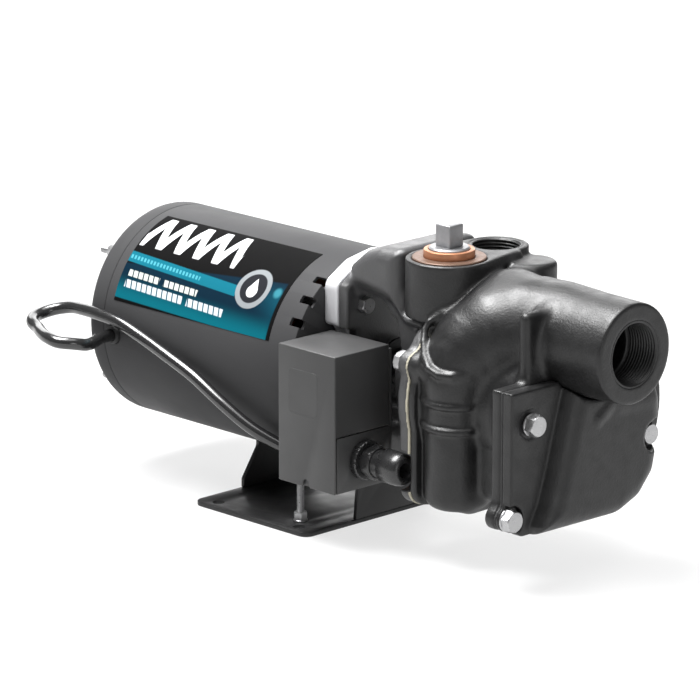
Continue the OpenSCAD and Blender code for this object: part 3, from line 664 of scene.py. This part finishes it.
def comet(c, c1, r1, c2, r2):
    """The flat distance to two circles joined by their outer tangents, in the plane across Z."""
    a, b = np.array(c1, float), np.array(c2, float)
    length = float(np.linalg.norm(b - a))
    ex, ey = (b - a) / length
    along = (c.x - a[0]) * ex + (c.y - a[1]) * ey
    across = np.abs(-(c.x - a[0]) * ey + (c.y - a[1]) * ex)
    lean = (r1 - r2) / length
    upright = math.sqrt(1 - lean * lean)
    t = along * upright - across * lean
    near = np.sqrt(along**2 + across**2) - r1
    far = np.sqrt((along - length) ** 2 + across**2) - r2
    middle = along * lean + across * upright - r1
    return np.where(t < 0, near, np.where(t > length * upright, far, middle))


def cover_outline(c):
    """The casing's joint with its cover: round, a square near lower corner, cut away round the port."""
    d = c.drum(66, [(-68.8, 132), (-68.8, 45), (-60, 34.5), (20, 33.5), (20, 132)], [3, 3, 6, 0, 0])
    for p, r in zip(COVER_BOLTS, (9.5, 7.4, 9.5)):
        d = soft_min(d, c.flat_disc(p, r), 5)
    return np.maximum(d, c.z - 127)


def joint_outline(c, grow=0.0):
    """The casing's joint with the bracket: round, a square near lower corner, and an ear at each bolt."""
    d = c.drum(64, [(-62, 114), (-62, 34), (14, 34), (14, 114)], [0, 12, 12, 0])
    for p in CASING_BOLTS:
        d = soft_min(d, c.flat_disc(p, 8), 4)
    return np.maximum(d, c.z - 148) - grow


def make_casing():
    c = Casting((93.5, -79.5, 25.5), (263.5, 67.5, 190.0), 1.15)
    body = c.drum(59, [(-54, 114), (-54, 33), (14, 33), (14, 114)], [0, 12, 12, 0])
    c.add(c.stand(body, c.x, 120, 168, 4))
    c.add(c.stand(joint_outline(c), c.x, 120, 134.5, 1), 3)
    for p in CASING_BOLTS:
        c.add(c.rod("X", p, 8, 120, 142, 2), 4)
    neck = c.drum(50.5, [(-46, 114), (-46, 42), (14, 42), (14, 114)], [0, 12, 12, 0])
    c.add(c.stand(neck, c.x, 160, 214, 3), 6)
    # the water turns down from the suction port into an upright swelling on the near side
    c.add(c.rod("Z", SWELL, 20.3, 36, 126, 8), 4)
    elbow = [
        (215, 0, TUBE_Z), (200, -2, 147.5), (180, -8, 147.0), (167, -18, 143), (158, -29, 135),
        (154, -38, 127), (153.5, -44, 117),
    ]
    c.add(c.path(elbow, [32.2, 33.0, 34.2, 34, 31, 25.5, 20.6], 3), 6)
    c.add(c.ball((161, -3, 149), 33.5), 6)
    round_port = np.sqrt(c.y**2 + (c.z - TUBE_Z) ** 2)
    c.add(c.stand(round_port - (32.0 + 0.022 * (PORT_FACE_X - c.x)), c.x, 180, PORT_FACE_X, 1.6), 3)
    # the two top ports, in one boss that reaches back over the bracket
    c.add(c.stand(comet(c, NEAR_TAP, 27.6, FAR_TAP, 21), c.z, 150, RIM_Z, 1.2), 2.5)
    c.add(c.rod("Z", (128, -20), 24, 138, 160, 3), 4)
    c.add(c.rod("Z", (150, 25), 16.5, 118, 182.5, 3.5), 5)
    # flange towards the front cover, with a fin that stands on up beside the port
    c.add(c.stand(cover_outline(c), c.x, 206.5, 214.5, 1.2), 4)
    c.add(c.box((205.5, -45.5, 92), (214.0, 30, 171), 4), 6)
    # raised lip where the swelling meets the boss
    lip = [
        (142, 22, 185), (145.4, 0, 181), (151, -22, 172.5), (148, -32, 165.5), (140, -43, 158),
        (133.5, -49, 152.5), (132.5, -52, 147.5), (136, -56.5, 141.5), (142, -62, 134), (150, -66, 128.5),
        (158, -66, 126), (166, -62, 125.6), (172, -53, 126), (175, -40, 126.5),
    ]
    c.add(c.path(lip, [1.4, 1.6, 1.8, 1.9, 2.0, 2.1, 2.2, 2.2, 2.3, 2.4, 2.4, 2.3, 2.2, 1.8], 1), 3.2)
    # two ledges round the swelling
    round_swell = np.sqrt((c.x - SWELL[0]) ** 2 + (c.y - SWELL[1]) ** 2)
    for z in (105.4, 89.5):
        c.add(np.maximum(np.sqrt((round_swell - 20.9) ** 2 + (c.z - z) ** 2) - 2.1, c.y + 38), 1.6)
    # dark pocket between the neck and the fin
    c.cut(c.box((190, -80, 62), (204, -46.5, 122), 3), 4)
    # the drain plug's boss, and a round rib low on the far side
    c.add(c.rod("Z", DRAIN_AT, 14, 34, 54, 2), 4)
    c.add(c.rod("X", (36, 64), 10, 160, 214), 5)
    # machined faces and holes
    c.keep(c.x - PORT_FACE_X)
    c.cut(c.box((80, -90, 0), (129.5, 90, 149.6)))
    c.keep(c.z - RIM_Z)
    c.keep(CASING_FOOT_Z - c.z)
    c.cut(c.rod("X", (0, TUBE_Z), 21.0, 238, 270))
    c.cut(c.rod("X", (0, TUBE_Z), 18.5, 190, 240))
    c.cut(c.rod("Z", FAR_TAP, 16.4, RIM_Z - 22, 200))
    c.cut(c.rod("Z", NEAR_TAP, 20.0, RIM_Z - 23, 200))
    c.cut(c.rod("Z", NEAR_TAP, 23.9, RIM_Z - 2, 200), 0.8)
    c.cut(c.rod("Z", (FAR_TAP[0] + 14, FAR_TAP[1] - 4), 10, 140, 168))
    c.cut(c.rod("Z", DRAIN_AT, 6.6, 20, 60))
    cast("pump_casing_casting", "pump_casing", c, 2, 0.4)


def make_cover():
    c = Casting((214.5, -79.5, 24.0), (238.5, 68.0, 140.0), 0.9)
    c.add(c.stand(cover_outline(c), c.x, COVER_SEAT_X, 224, 1.0))
    bulge = fillet([
        (-24, 125), (-31.5, 99), (-38.5, 74), (-45.5, 53), (-53.5, 38.5), (-49, 33.4), (22, 32.6), (41, 40),
        (54.5, 55), (59.5, 78), (60, 100), (52, 126),
    ], [0, 10, 20, 14, 5, 4, 18, 16, 16, 16, 16, 0])
    c.add(c.stand(c.flat_outline("X", bulge), c.x, 196, 236, 15), 1.0)
    # two shoulders below the suction port, the second one towards the far bolt
    c.add(c.path([(232, -3, 101), (231, 11, 110)], [5.0, 5.5]), 3)
    c.add(c.path([(230, 17, 106.5), (229.5, 47, 104)], [6.0, 5.5]), 4)
    # room round the far bolt and the spot faces of the others
    c.cut(c.rod("X", COVER_BOLTS[2], 10.5, 224, 245, 1.5), 2)
    c.cut(c.rod("X", COVER_BOLTS[1], 9.4, 219, 245, 0.8), 1)
    c.cut(c.rod("X", COVER_BOLTS[0], 9.4, 223.4, 245, 0.5), 1)
    # it stops short of the suction port above it
    c.cut(c.rod("X", (0, TUBE_Z), 33.5, 200, 260), 1)
    c.keep(COVER_SEAT_X - c.x)
    cast("front_cover_casting", "front_cover", c, 2, 0.35)


def make_bracket():
    c = Casting((42.0, -67.0, 31.5), (129.5, 67.0, 191.0), 1.3)
    bell = c.flat_outline("X", [
        (-31, 63), (-31, 128), (-40, 130), (-40, 158), (-22, 169), (0, 173), (22, 169), (40, 158), (40, 130),
        (31, 128), (31, 63),
    ])
    c.add(c.stand(bell, c.x, 43, 51, 1))
    c.add(c.stand(joint_outline(c), c.x, 120, 128, 1), 4)
    c.add(c.rod("X", AXIS, 32, 84, 124, 2), 5)
    arch = c.flat_outline("Y", fillet([
        (46, 156), (46, 171), (60, 182.5), (74, 187.5), (90, 188.5), (94, 186.5), (94, 149), (124, 147),
        (124, 138), (96, 140), (84, 152), (60, 156),
    ], [0, 4, 8, 8, 3, 3, 3, 0, 0, 6, 6, 3]))
    c.add(c.stand(arch, c.y, -38, 38, 11), 5)
    web = c.flat_outline("Y", fillet([
        (46, 150), (46, 168), (72, 176), (94, 160), (94, 146), (124, 120), (96, 104), (92, 112), (86, 140),
        (70, 154),
    ], 3))
    for y in (-27, 27):
        c.add(c.stand(web, c.y, y - 4, y + 4, 2), 4)
    foot = c.flat_outline("Y", [(46, 66), (46, 78), (90, 78), (124, 60), (124, 44)])
    c.add(c.stand(foot, c.y, -14, 14, 2), 4)
    c.add(c.box((53, -28, 36), (73, 28, 68), 3), 4)
    c.keep(43.0 - c.x)
    c.keep(c.x - 128.0)
    c.cut(c.rod("X", AXIS, 24, 60, 110))
    c.cut(c.rod("X", AXIS, 15, 60, 130))
    c.cut(c.rod("X", AXIS, 12, 40, 60))
    c.cut(c.rod("X", CONNECTOR_AT[1:], 12.5, 118, 130))
    # the bracket takes the lighter copy of the black paint, with painted light in it
    cast("adapter_bracket_casting", "adapter_bracket", c, 2, 0.4, material="bracket_painted_light")


def make_bell():
    c = Casting((25.0, -43.0, 60.0), (44.5, 43.0, 176.0), 0.8)
    bell = c.flat_outline("X", fillet([
        (-32, 62), (-32, 128), (-41, 131), (-41, 159), (-22, 170), (0, 174), (22, 170), (41, 159), (41, 131),
        (32, 128), (32, 62),
    ], [3, 6, 3, 8, 12, 12, 12, 8, 3, 6, 3]))
    c.add(c.stand(bell, c.x, 31, 43, 1.4))
    c.add(c.rod("X", AXIS, 29.9, 26, 34, 0.5), 1)
    c.cut(c.rod("X", AXIS, 20, 20, 38))
    c.cut(c.rod("X", AXIS, 11, 20, 50))
    for p in BELL_BOLTS:
        c.cut(c.rod("X", p, 3.4, 20, 50))
    cast("motor_end_bell_casting", "motor_end_bell", c, 1, 0.3, "cast_aluminium")


def make_gaskets():
    c = Casting((126.5, -68.0, 31.0), (131.0, 68.0, 151.0), 0.75)
    c.add(c.stand(joint_outline(c, 0.4), c.x, 127.9, 129.6))
    c.cut(c.rod("X", CONNECTOR_AT[1:], 12.5, 118, 135))
    piece("casing_gasket_sheet", c.skin(), "gasket_fibre", "casing_gasket")
    c = Casting((213.0, -79.5, 24.0), (217.5, 68.0, 140.0), 0.75)
    c.add(c.stand(cover_outline(c) + 0.3, c.x, 214.4, 216.1))
    piece("cover_gasket_sheet", c.skin(), "black_rubber", "cover_gasket")


make_casing()
make_gaskets()
make_cover()
make_bracket()
make_bell()


def internal_thread(name, axis, centre, radius, lo, hi, pitch, sleeve):
    """A port's thread: radius is its mean, and a sleeve stands behind it."""
    mesh = thread_surface(axis, centre, lo, hi, pitch, 96, lambda w: radius - 1.15 * (1 - w) + 0.2, sleeve)
    piece(name, mesh, "cast_iron_paint", angle=None)


internal_thread("suction_port_thread", "X", (0, 0, TUBE_Z), 20.1, 239.5, 261.6, 2.2, 21.8)
internal_thread("discharge_port_thread", "Z", (*FAR_TAP, 0), 15.7, 166.5, 187.1, 2.2, 17.2)


# ---------------- painted patterns

class Field:
    """A number that varies over a surface, built from shader nodes."""

    def __init__(self, tree, socket):
        self.tree, self.socket = tree, socket

    def node(self, op, *others):
        n = self.tree.nodes.new("ShaderNodeMath")
        n.operation = op
        for i, v in enumerate((self, *others)):
            if isinstance(v, Field):
                self.tree.links.new(v.socket, n.inputs[i])
            else:
                n.inputs[i].default_value = v
        return Field(self.tree, n.outputs[0])

    def __add__(self, o):
        return self.node("ADD", o)

    def __sub__(self, o):
        return self.node("SUBTRACT", o)

    def __mul__(self, o):
        return self.node("MULTIPLY", o)

    def __truediv__(self, o):
        return self.node("DIVIDE", o)

    def rise(self, edge, soft):
        """0 below the edge and 1 above it, with a soft step between."""
        n = self.tree.nodes.new("ShaderNodeMapRange")
        n.interpolation_type = "SMOOTHSTEP"
        put(n, {"From Min": edge - soft, "From Max": edge + soft})
        self.tree.links.new(self.socket, n.inputs["Value"])
        return Field(self.tree, n.outputs["Result"])

    def fall(self, edge, soft):
        return (self * -1.0).rise(-edge, soft)

    def band(self, lo, hi, soft):
        return self.rise(lo, soft) * self.fall(hi, soft)


LABEL_R = 71.3


def make_label_foil():
    """Printed foil on the shell. along is the place along the shaft in millimetres, and up is the angle
    above the near side in degrees."""
    tree = finish(
        "label_foil", grey(0.004), grey(0.005), (0.5, 0.58), grain=2.0, depth=0.004, blotch=60, level=0.02
    ).node_tree
    shader = tree.nodes["Principled BSDF"]
    place = tree.nodes.new("ShaderNodeTexCoord")
    split = tree.nodes.new("ShaderNodeSeparateXYZ")
    tree.links.new(place.outputs["Object"], split.inputs["Vector"])
    x, y, z = (Field(tree, split.outputs[i]) for i in range(3))
    along = x * 1000.0
    up = (z - 0.1).node("ARCTAN2", y * -1.0) * math.degrees(1)
    held = [shader.inputs["Base Color"].links[0].from_socket]

    def paint(mask, colour):
        held[0] = mixed(tree, mask.socket, held[0], colour)

    # lower panel, brighter towards its lower edge, and its fade to the right
    floor = (along + 143.0) * -0.0205 + 18.2
    ceiling = (along + 143.0) * 0.075 + 37.0
    above = up - floor
    panel = above.rise(0.0, 0.4) * (ceiling - up).rise(0.0, 0.6) * along.band(-143.2, 5.0, 0.6)
    glow = above.fall(7.0, 7.0)
    paint(panel, mixed(tree, glow.socket, (0.003, 0.014, 0.026), (0.003, 0.105, 0.14)))
    paint(panel * (along * 0.9 + up).rise(36.0, 22.0) * up.band(24, 42, 6), (0.004, 0.06, 0.09))
    # bright stripe
    stripe = (up + along * 0.042).band(32.6, 38.8, 0.35) * along.band(-146.0, -34.0, 0.5)
    paint(stripe, (0.006, 0.11, 0.155))
    ticks = (along + up * 0.2).node("PINGPONG", 1.6).rise(0.7, 0.3)
    row = (up + along * 0.042).band(34.6, 36.8, 0.3) * along.band(-140, -70, 0.5)
    paint(stripe * row * ticks, (0.06, 0.28, 0.34))
    # a wave in place of the title
    lift = (up - 49.0) / 22.5
    wave = (along + 138.0).node("PINGPONG", 9.0)
    strokes = (wave - lift * 9.0).node("ABSOLUTE").fall(3.1, 0.35)
    paint(strokes * lift.band(0.0, 1.0, 0.02) * along.band(-138.5, -47.5, 0.4), (0.62, 0.63, 0.64))
    # rows of dashes in place of the words
    dash = (along + up * 0.3).node("PINGPONG", 2.5).rise(0.55, 0.25)
    level = up + along * 0.03
    first = level.band(26.6, 30.2, 0.3) * (along.band(-134, -104, 0.4) + along.band(-99.5, -67, 0.4))
    paint(first * dash, (0.46, 0.49, 0.46))
    second = level.band(20.4, 24.6, 0.3) * (along.band(-134, -78, 0.4) + along.band(-73.5, -39, 0.4))
    paint(second * dash, (0.48, 0.53, 0.57))
    # ring with a drop
    du = along + 21.3
    dv = (up - 41.0) * math.radians(LABEL_R)
    far = (du * du + dv * dv).node("SQRT")
    paint(far.fall(14.6, 0.35), (0.2, 0.215, 0.225))
    paint(far.fall(10.8, 0.35), (0.016, 0.017, 0.02))
    belly = (du * du + (dv + 2.2) * (dv + 2.2)).node("SQRT").fall(4.6, 0.3)
    tip = (du.node("ABSOLUTE") * 1.9 + dv).fall(7.4, 0.3) * dv.rise(-1.2, 0.3)
    paint(belly.node("MAXIMUM", tip), (0.6, 0.61, 0.62))
    # painted highlight: a pale round spot beside the ring
    painted_glint = ((along - 1.0) * (along - 1.0) + (up - 41.5) * (up - 41.5) * 1.4).node("SQRT")
    paint(painted_glint.fall(3.2, 1.4), (0.03, 0.16, 0.2))
    tree.links.new(held[0], shader.inputs["Base Color"])


make_label_foil()


# ---------------- small helpers

def spun(mesh, degrees):
    """A copy of the mesh turned about the shaft."""
    copy = mesh.copy()
    axis = Matrix.Translation((0, 0, SHAFT_Z * MM))
    copy.transform(axis @ Matrix.Rotation(math.radians(degrees), 4, "X") @ axis.inverted())
    return copy


def rod(axis, centre, radius, lo, hi, segments):
    return turned(axis, centre, [(lo, 0), (lo, radius), (hi, radius), (hi, 0)], segments)


def slot_outline(centre, half_width, half_length, steps=10):
    """An upright slot with round ends, in the plane across X."""
    out = []
    for start, rise in ((0.0, half_length - half_width), (math.pi, half_width - half_length)):
        for k in range(steps + 1):
            a = start + math.pi * k / steps
            out.append((centre[0] + half_width * math.cos(a), centre[1] + rise + half_width * math.sin(a)))
    return out


# ---------------- motor

SHELL_R = 71.0
SHAFT_AT = (0, *AXIS)
BOLT_ANGLES = (45, 135, 225, 315)
BOLT_AT = (0, 0, SHAFT_Z + 61)
LEAD_EXIT = (-138, 0, 97)
LEAD_ENTRY = (0, -57, 48)
POST_AT = (29, -60.5, 0)
SCREWS_AT = [(40, -54, 0), (50, -54, 0)]
BASE_BOLTS = [(-18, 50), (18, 50)]


def make_shell():
    shell = turned("X", SHAFT_AT, [
        (-148.0, 69.0), (-148.0, 70.5), (-147.5, 70.95), (-147.0, SHELL_R), (29.6, SHELL_R), (30.6, 70.7),
        (31.0, 70.0), (31.0, 31.2), (30.4, 30.0), (29.0, 30.0), (29.0, 67.6), (28.2, 69.0),
    ], 160)
    notch = [(22.6, -2.8), (34, -2.8), (34, 2.8), (22.6, 2.8), (22.0, 2.2), (22.0, -2.2)]
    notch = prism("Z", notch, 166.6, 175)
    cutters = [spun(notch, a) for a in (35, 48, 61, -35, -48, -61, 150, -150)]
    cutters += [rod("X", (0, *p), 3.2, 25, 34, 24) for p in BELL_BOLTS]
    cutters.append(rod("Y", LEAD_EXIT, 6.5, -76, -62, 40))
    piece("motor_shell_tube", less(shell, *cutters), "shell_paint", "motor_shell", angle=32)


def make_cap():
    cap = turned("X", SHAFT_AT, [
        (-148.0, 69.0), (-148.0, 70.5), (-148.5, 70.95), (-149.0, SHELL_R), (-157.0, SHELL_R),
        (-158.8, 70.8), (-160.5, 70.3), (-162.1, 69.4), (-163.4, 68.3), (-164.5, 66.9), (-165.3, 65.2),
        (-165.8, 63.6), (-166.0, 62.0), (-166.0, 53.4), (-165.3, 52.6), (-165.3, 27.6), (-166.0, 26.8),
        (-166.0, 10.8), (-165.4, 10.0), (-164.0, 10.0), (-164.0, 19.4), (-153.0, 20.0), (-151.0, 20.0),
        (-151.0, 24.0), (-164.0, 24.0), (-164.0, 60.0), (-163.0, 64.5), (-160.0, 67.8), (-157.0, 69.0),
    ], 160)
    slot = prism("X", slot_outline((0, SHAFT_Z + 40), 3, 9), -168, -162)
    slots = [spun(slot, 15 + 30 * i) for i in range(12)]
    holes = [spun(rod("X", BOLT_AT, 2.6, -168, -155, 24), a) for a in BOLT_ANGLES]
    piece("motor_rear_cap_pressing", less(cap, *slots, *holes), "shell_paint", "motor_rear_cap", angle=32)


def screw(at, head, thread, end, turn):
    """A hexagonal screw along the shaft: head and thread are the ranges of X that they cover."""
    y, z = at
    return [
        hex_head("X", (0, y, z), 12.7, *head, end, turn),
        threaded_rod("X", (0, y, z), 3.9, *thread, 1.27, 0.45),
    ]


def make_bolts():
    def fasteners(name, node, parts):
        piece(name, joined(*parts), "zinc_fasteners", node, angle=30)

    through = []
    for a in BOLT_ANGLES:
        parts = [
            hex_head("X", BOLT_AT, 8, -171, -166, "lo"),
            threaded_rod("X", BOLT_AT, 2.5, -178.9, -166, 0.9, 0.3, 24),
            rod("X", BOLT_AT, 2.4, -166, 28.9, 24),
        ]
        through += [spun(p, a) for p in parts]
    fasteners("motor_through_bolt_set", "motor_through_bolts", through)
    bell = []
    for p in BELL_BOLTS:
        bell += [hex_head("X", (0, *p), 10, 51, 56, "hi", 0.3), rod("X", (0, *p), 2.95, 27, 52, 24)]
    fasteners("bell_bolt_set", "bell_bolts", bell)
    cover = []
    for i, (p, seat) in enumerate(zip(COVER_BOLTS, (224, 219, 224))):
        washer = [(0.0, 3.9), (0.0, 7.0), (0.3, 7.2), (1.1, 7.2), (1.5, 6.8), (1.5, 3.9)]
        cover.append(turned("X", (0, *p), [(seat + h, radius) for h, radius in washer]))
        cover += screw(p, (seat + 1.4, seat + 7.5), (207.6, seat + 1), "hi", 0.26 + 0.5 * i)
    fasteners("cover_bolt_set", "cover_bolts", cover)
    casing = []
    for i, p in enumerate(CASING_BOLTS):
        casing += screw(p, (114.5, 120), (120, 139.9), "lo", 0.4 * i)
    fasteners("casing_bolt_set", "casing_bolts", casing)
    base = []
    for p in BASE_BOLTS:
        base += screw(p, (44.5, 50), (50, 66.9), "lo", 0.2)
    fasteners("base_bolt_set", "base_bolts", base)


def make_label():
    start, end, steps = 16.2, 73.9, 48
    arc = [math.radians(start + (end - start) * k / steps) for k in range(steps + 1)]
    outline = [
        (-r * math.cos(a), SHAFT_Z + r * math.sin(a))
        for r, line in ((SHELL_R + 0.28, arc), (SHELL_R + 0.02, arc[::-1]))
        for a in line
    ]
    piece("motor_label_foil", prism("X", outline, -140, 8), "label_foil", "motor_label", angle=60)


# ---------------- base

def sheet(name, node, mesh, width):
    piece(name, rounded(mesh, width, 2), "black_stamped_steel", node, angle=30)


def make_base():
    plate = prism("Z", fillet([(-53, -79), (53, -79), (53, 79), (-53, 79)], 7, 8), 0, 3)
    holes = [rod("Z", (x, y, 0), 4, -2, 6, 32) for x in (-38, 38) for y in (-70, 70)]
    holes.append(rod("Z", POST_AT, 2.5, -2, 6, 24))
    sheet("base_plate_sheet", "base_plate", less(plate, *holes), 0.5)
    saddle = [(-36, 3), (36, 3), (36, 9), (22.6, 29), (22.6, 40), (-22.6, 40), (-22.6, 29), (-36, 9)]
    rear = prism("X", fillet(saddle, [0, 0, 4, 5, 0, 0, 5, 4], 4), -53, -50)
    rear = less(rear, rod("X", SHAFT_AT, SHELL_R, -60, -40, 160))
    sheet("rear_riser_sheet", "rear_riser", rear, 0.5)
    front = prism("X", fillet([(-34, 3), (34, 3), (28, 62), (-28, 62)], [0, 0, 5, 5], 5), 50, 53)
    front = less(front, *[rod("X", (0, *p), 4.2, 45, 60, 32) for p in BASE_BOLTS])
    sheet("front_riser_sheet", "front_riser", front, 0.5)


# ---------------- top ports

def make_ports():
    near = (*NEAR_TAP, 0)

    def above_rim(profile):
        return turned("Z", near, [(RIM_Z + rise, radius) for rise, radius in profile], 72)

    flange = above_rim([
        (-22, 13.4), (-22, 18.6), (-20.6, 19.6), (-2.0, 19.6), (-2.0, 23.2), (-1.6, 23.5), (0.1, 23.5),
        (0.6, 23.0), (0.6, 16.6), (-0.4, 16.0), (-0.4, 13.4),
    ])
    # the flange takes the darker copy of the bronze
    piece("bushing_flange", flange, "bronze", "priming_bushing", angle=35, material="bronze_darker")
    neck = above_rim([
        (-0.2, 13.25), (-0.2, 16.1), (0.7, 16.3), (4.5, 16.3), (5.2, 16.0), (5.5, 15.4), (5.5, 13.7),
        (5.1, 13.25),
    ])
    piece("bushing_neck", neck, "bronze", "priming_bushing", angle=35)

    def square(centre, half, lo, hi, edge, segments):
        x, y = centre
        outline = [(x - half, y - half), (x + half, y - half), (x + half, y + half), (x - half, y + half)]
        return rounded(prism("Z", outline, lo, hi), edge, segments)

    head = square(NEAR_TAP, 12.7 / 2, RIM_Z + 6.6, RIM_Z + 21.5, 1.1, 3)
    shoulder = above_rim([(-10, 0), (-10, 12.0), (-9, 13.0), (6.1, 13.0), (7.0, 12.1), (7.0, 0)])
    thread = threaded_rod("Z", near, 13.05, RIM_Z - 9.5, RIM_Z + 4.5, 1.8, 0.5, 48)
    plug = joined(head, shoulder, thread)
    piece("priming_plug_square", plug, "plug_steel", "priming_plug", angle=35, body="plug")
    head = square(DRAIN_AT, 4, 27, 34.4, 0.8, 2)
    drain = joined(head, threaded_rod("Z", (*DRAIN_AT, 0), 6.55, 34, 45.9, 1.4, 0.4))
    piece("drain_plug_square", drain, "plug_steel", "drain_plug", angle=35)


# ---------------- pressure switch

def make_cover_cap():
    side = [(-85.5, 37), (-84, 37), (-84, 74), (-37.5, 74), (-37.5, 127), (-85.5, 127)]
    cap = prism("X", side, 35, 86.5)
    hollow = block((36.5, -84, 70), (85, -30, 125.5))
    notch = [(57, 30), (63, 30), (63, 39.6), (62.1, 41.4), (60, 42.0), (57.9, 41.4), (57, 39.6)]
    cap = rounded(less(cap, hollow, prism("Y", notch, -90, -80)), 0.9, 3, 50)
    badge = prism("Y", fillet([(44.5, 84), (70.5, 84), (70.5, 113), (44.5, 113)], 3, 5), -85.62, -85.0)
    cap = joined(cap, rounded(badge, 0.1, 1))
    piece("switch_cover_cap", cap, "switch_paint", "switch_cover", angle=30, body="cover")


def make_base_tray():
    tray = less(block((35, -83.5, 37), (86.5, -35, 73.5)), block((37, -81.5, 39), (84.5, -37, 80)))
    tray = less(
        tray,
        rod("X", LEAD_ENTRY, 6.9, 30, 40, 40),
        rod("X", CONNECTOR_AT, 7.1, 80, 90, 40),
        rod("X", (0, -42, 48), 3.1, 80, 90, 24),
        *[rod("Z", p, 2.1, 30, 45, 20) for p in SCREWS_AT],
    )
    back = block((35, -37, 70), (86.5, -35, 124))
    tray = joined(rounded(tray, 0.7, 2, 50), rounded(back, 0.5, 2, 50))
    piece("switch_base_tray", tray, "switch_paint", "switch_base", angle=30)


def make_connector():
    at = CONNECTOR_AT
    lobes = 26
    ring = [(86.5, 7.1), (86.5, 12.1), (87.1, 12.6), (90.9, 12.6), (91.5, 12.1), (91.5, 7.1)]
    knurl = turned("X", at, ring, lobes * 4)
    for v in knurl.vertices:
        y, z = v.co.y - at[1] * MM, v.co.z - at[2] * MM
        if math.hypot(y, z) > 10 * MM:
            k = 1 + 0.02 * math.cos(lobes * math.atan2(z, y))
            v.co.y, v.co.z = at[1] * MM + y * k, at[2] * MM + z * k
    piece("connector_ring", knurl, "connector_paint", "cable_connector", angle=40)
    barrel = turned("X", at, [
        (78.5, 5.0), (78.5, 6.6), (79.0, 7.0), (91.0, 7.0), (91.0, 9.0), (107.0, 9.0), (107.0, 10.4),
        (107.6, 10.8), (118.6, 10.8), (121.4, 10.3), (123.3, 9.3), (124.3, 7.9), (124.5, 6.6), (124.1, 5.6),
        (123.2, 5.0),
    ], 72)
    nut = less(hex_head("X", at, 20, 94.5, 100.5, "hi", 0.3), rod("X", at, 6, 90, 110, 40))
    piece("connector_barrel", joined(barrel, nut), "connector_paint", "cable_connector", angle=35)
    locknut = less(hex_head("X", at, 17, 80.5, 84.4, "lo"), rod("X", at, 7.1, 70, 90, 40))
    piece("connector_locknut_ring", locknut, "connector_paint", "connector_locknut", angle=35)


def make_support():
    shelf = less(
        block((23, -67, 35), (75, -46, 37)),
        rod("Z", POST_AT, 2.5, 30, 40, 24),
        *[rod("Z", p, 2.1, 30, 40, 20) for p in SCREWS_AT],
    )
    sheet("switch_bracket_sheet", "switch_bracket", shelf, 0.4)
    hardware = [
        threaded_rod("Z", POST_AT, 2.4, 0.5, 38.5, 0.8, 0.3, 28),
        turned("Z", POST_AT, [(3.0, 2.2), (3.0, 4.3), (3.3, 4.6), (3.9, 4.6), (4.2, 4.3), (4.2, 2.2)]),
    ]
    for p in SCREWS_AT:
        head = [(32.5, 0), (32.5, 3.0), (33.0, 3.5), (34.5, 3.5), (35.0, 3.0), (35.0, 0)]
        hardware.append(turned("Z", p, head, 32))
        hardware.append(threaded_rod("Z", p, 2.0, 34.9, 40.5, 0.7, 0.25, 24))
    piece("support_bolt_post", joined(*hardware), "zinc_fasteners", "support_bolt", angle=35)
    lower = hex_head("Z", POST_AT, 8.0, 4.2, 9.2, "hi", 0.4)
    upper = hex_head("Z", POST_AT, 8.0, 30.5, 35.0, "lo", 0.1)
    nuts = less(joined(lower, upper), rod("Z", POST_AT, 2.35, 0, 50, 28))
    piece("support_nut_pair", nuts, "zinc_fasteners", "support_nuts", angle=35)


def make_spring():
    turns, steps, radius = 9, 240, 5.8
    line = [
        (65 + radius * math.cos(a), -71 + radius * math.sin(a), 51.2 + 0.6 + (41.0 - 1.2) * t)
        for t, a in ((i / steps, 2 * math.pi * turns * i / steps) for i in range(steps + 1))
    ]
    piece("range_spring_coil", sweep(line, 1.1, 10), "ground_steel", "range_spring", angle=None)


def make_lead_fittings():
    grommet = turned("Y", LEAD_EXIT, [
        (-73.4, 4.3), (-73.4, 5.6), (-72.6, 6.1), (-71.1, 6.15), (-68.0, 6.1), (-66.2, 6.0), (-66.0, 4.3),
    ], 48)
    piece("lead_grommet_ring", grommet, "black_rubber", "lead_grommet", angle=40)
    ribs = [(31.0, 4.3), (31.0, 5.0)]
    for i in range(4):
        at, wide = 0.95 * i, 0.2 * i
        ribs += [(31.2 + at, 6.0 + wide), (31.8 + at, 6.0 + wide), (31.9 + at, 5.3 + wide)]
    ribs += [(35.0, 6.8), (37.6, 6.8), (38.0, 6.4), (38.0, 4.3)]
    bushing = turned("X", LEAD_ENTRY, ribs, 48)
    piece("lead_bushing_ribbed", bushing, "black_rubber", "lead_bushing", angle=30)


make_shell()
make_cap()
make_bolts()
make_label()
make_base()
make_ports()
make_cover_cap()
make_base_tray()
make_connector()
make_support()
make_spring()
make_lead_fittings()


# ---------------- motor lead

JACKET_R = 4.1
LEAD_ROUTE = [
    (-138, -66, 97), (-138, -76, 97), (-137, -84, 97), (-132, -94, 97), (-128, -104, 98), (-130, -113, 100),
    (-137, -120, 101), (-147, -120, 102), (-159, -115, 102), (-171, -108, 102), (-181, -104, 103),
    (-188, -97, 104), (-190, -88, 105), (-186, -79, 107), (-176, -74, 109), (-162, -75, 110),
    (-146, -76, 110), (-126, -76, 108), (-104, -76, 102), (-80, -77, 95), (-54, -77, 86),
    (-28, -76, 73), (-6, -71, 60), (14, -62, 50), (25, -57, 48), (32, -57, 48), (39, -57, 48),
]
lead_line = smooth_route(LEAD_ROUTE, 8)
lead = piece("lead_jacket", sweep(lead_line, JACKET_R, 24), "lead_jacket", "motor_lead", angle=None)

# every CAD node that still shows gets its finish
for row in frame["record"]["subparts"]:
    shown = frame["nodes"].get(row["node"])
    if shown is not None and not shown.hide_render:
        shown.data.materials.clear()
        shown.data.materials.append(MATERIALS[row["material_slot"]])
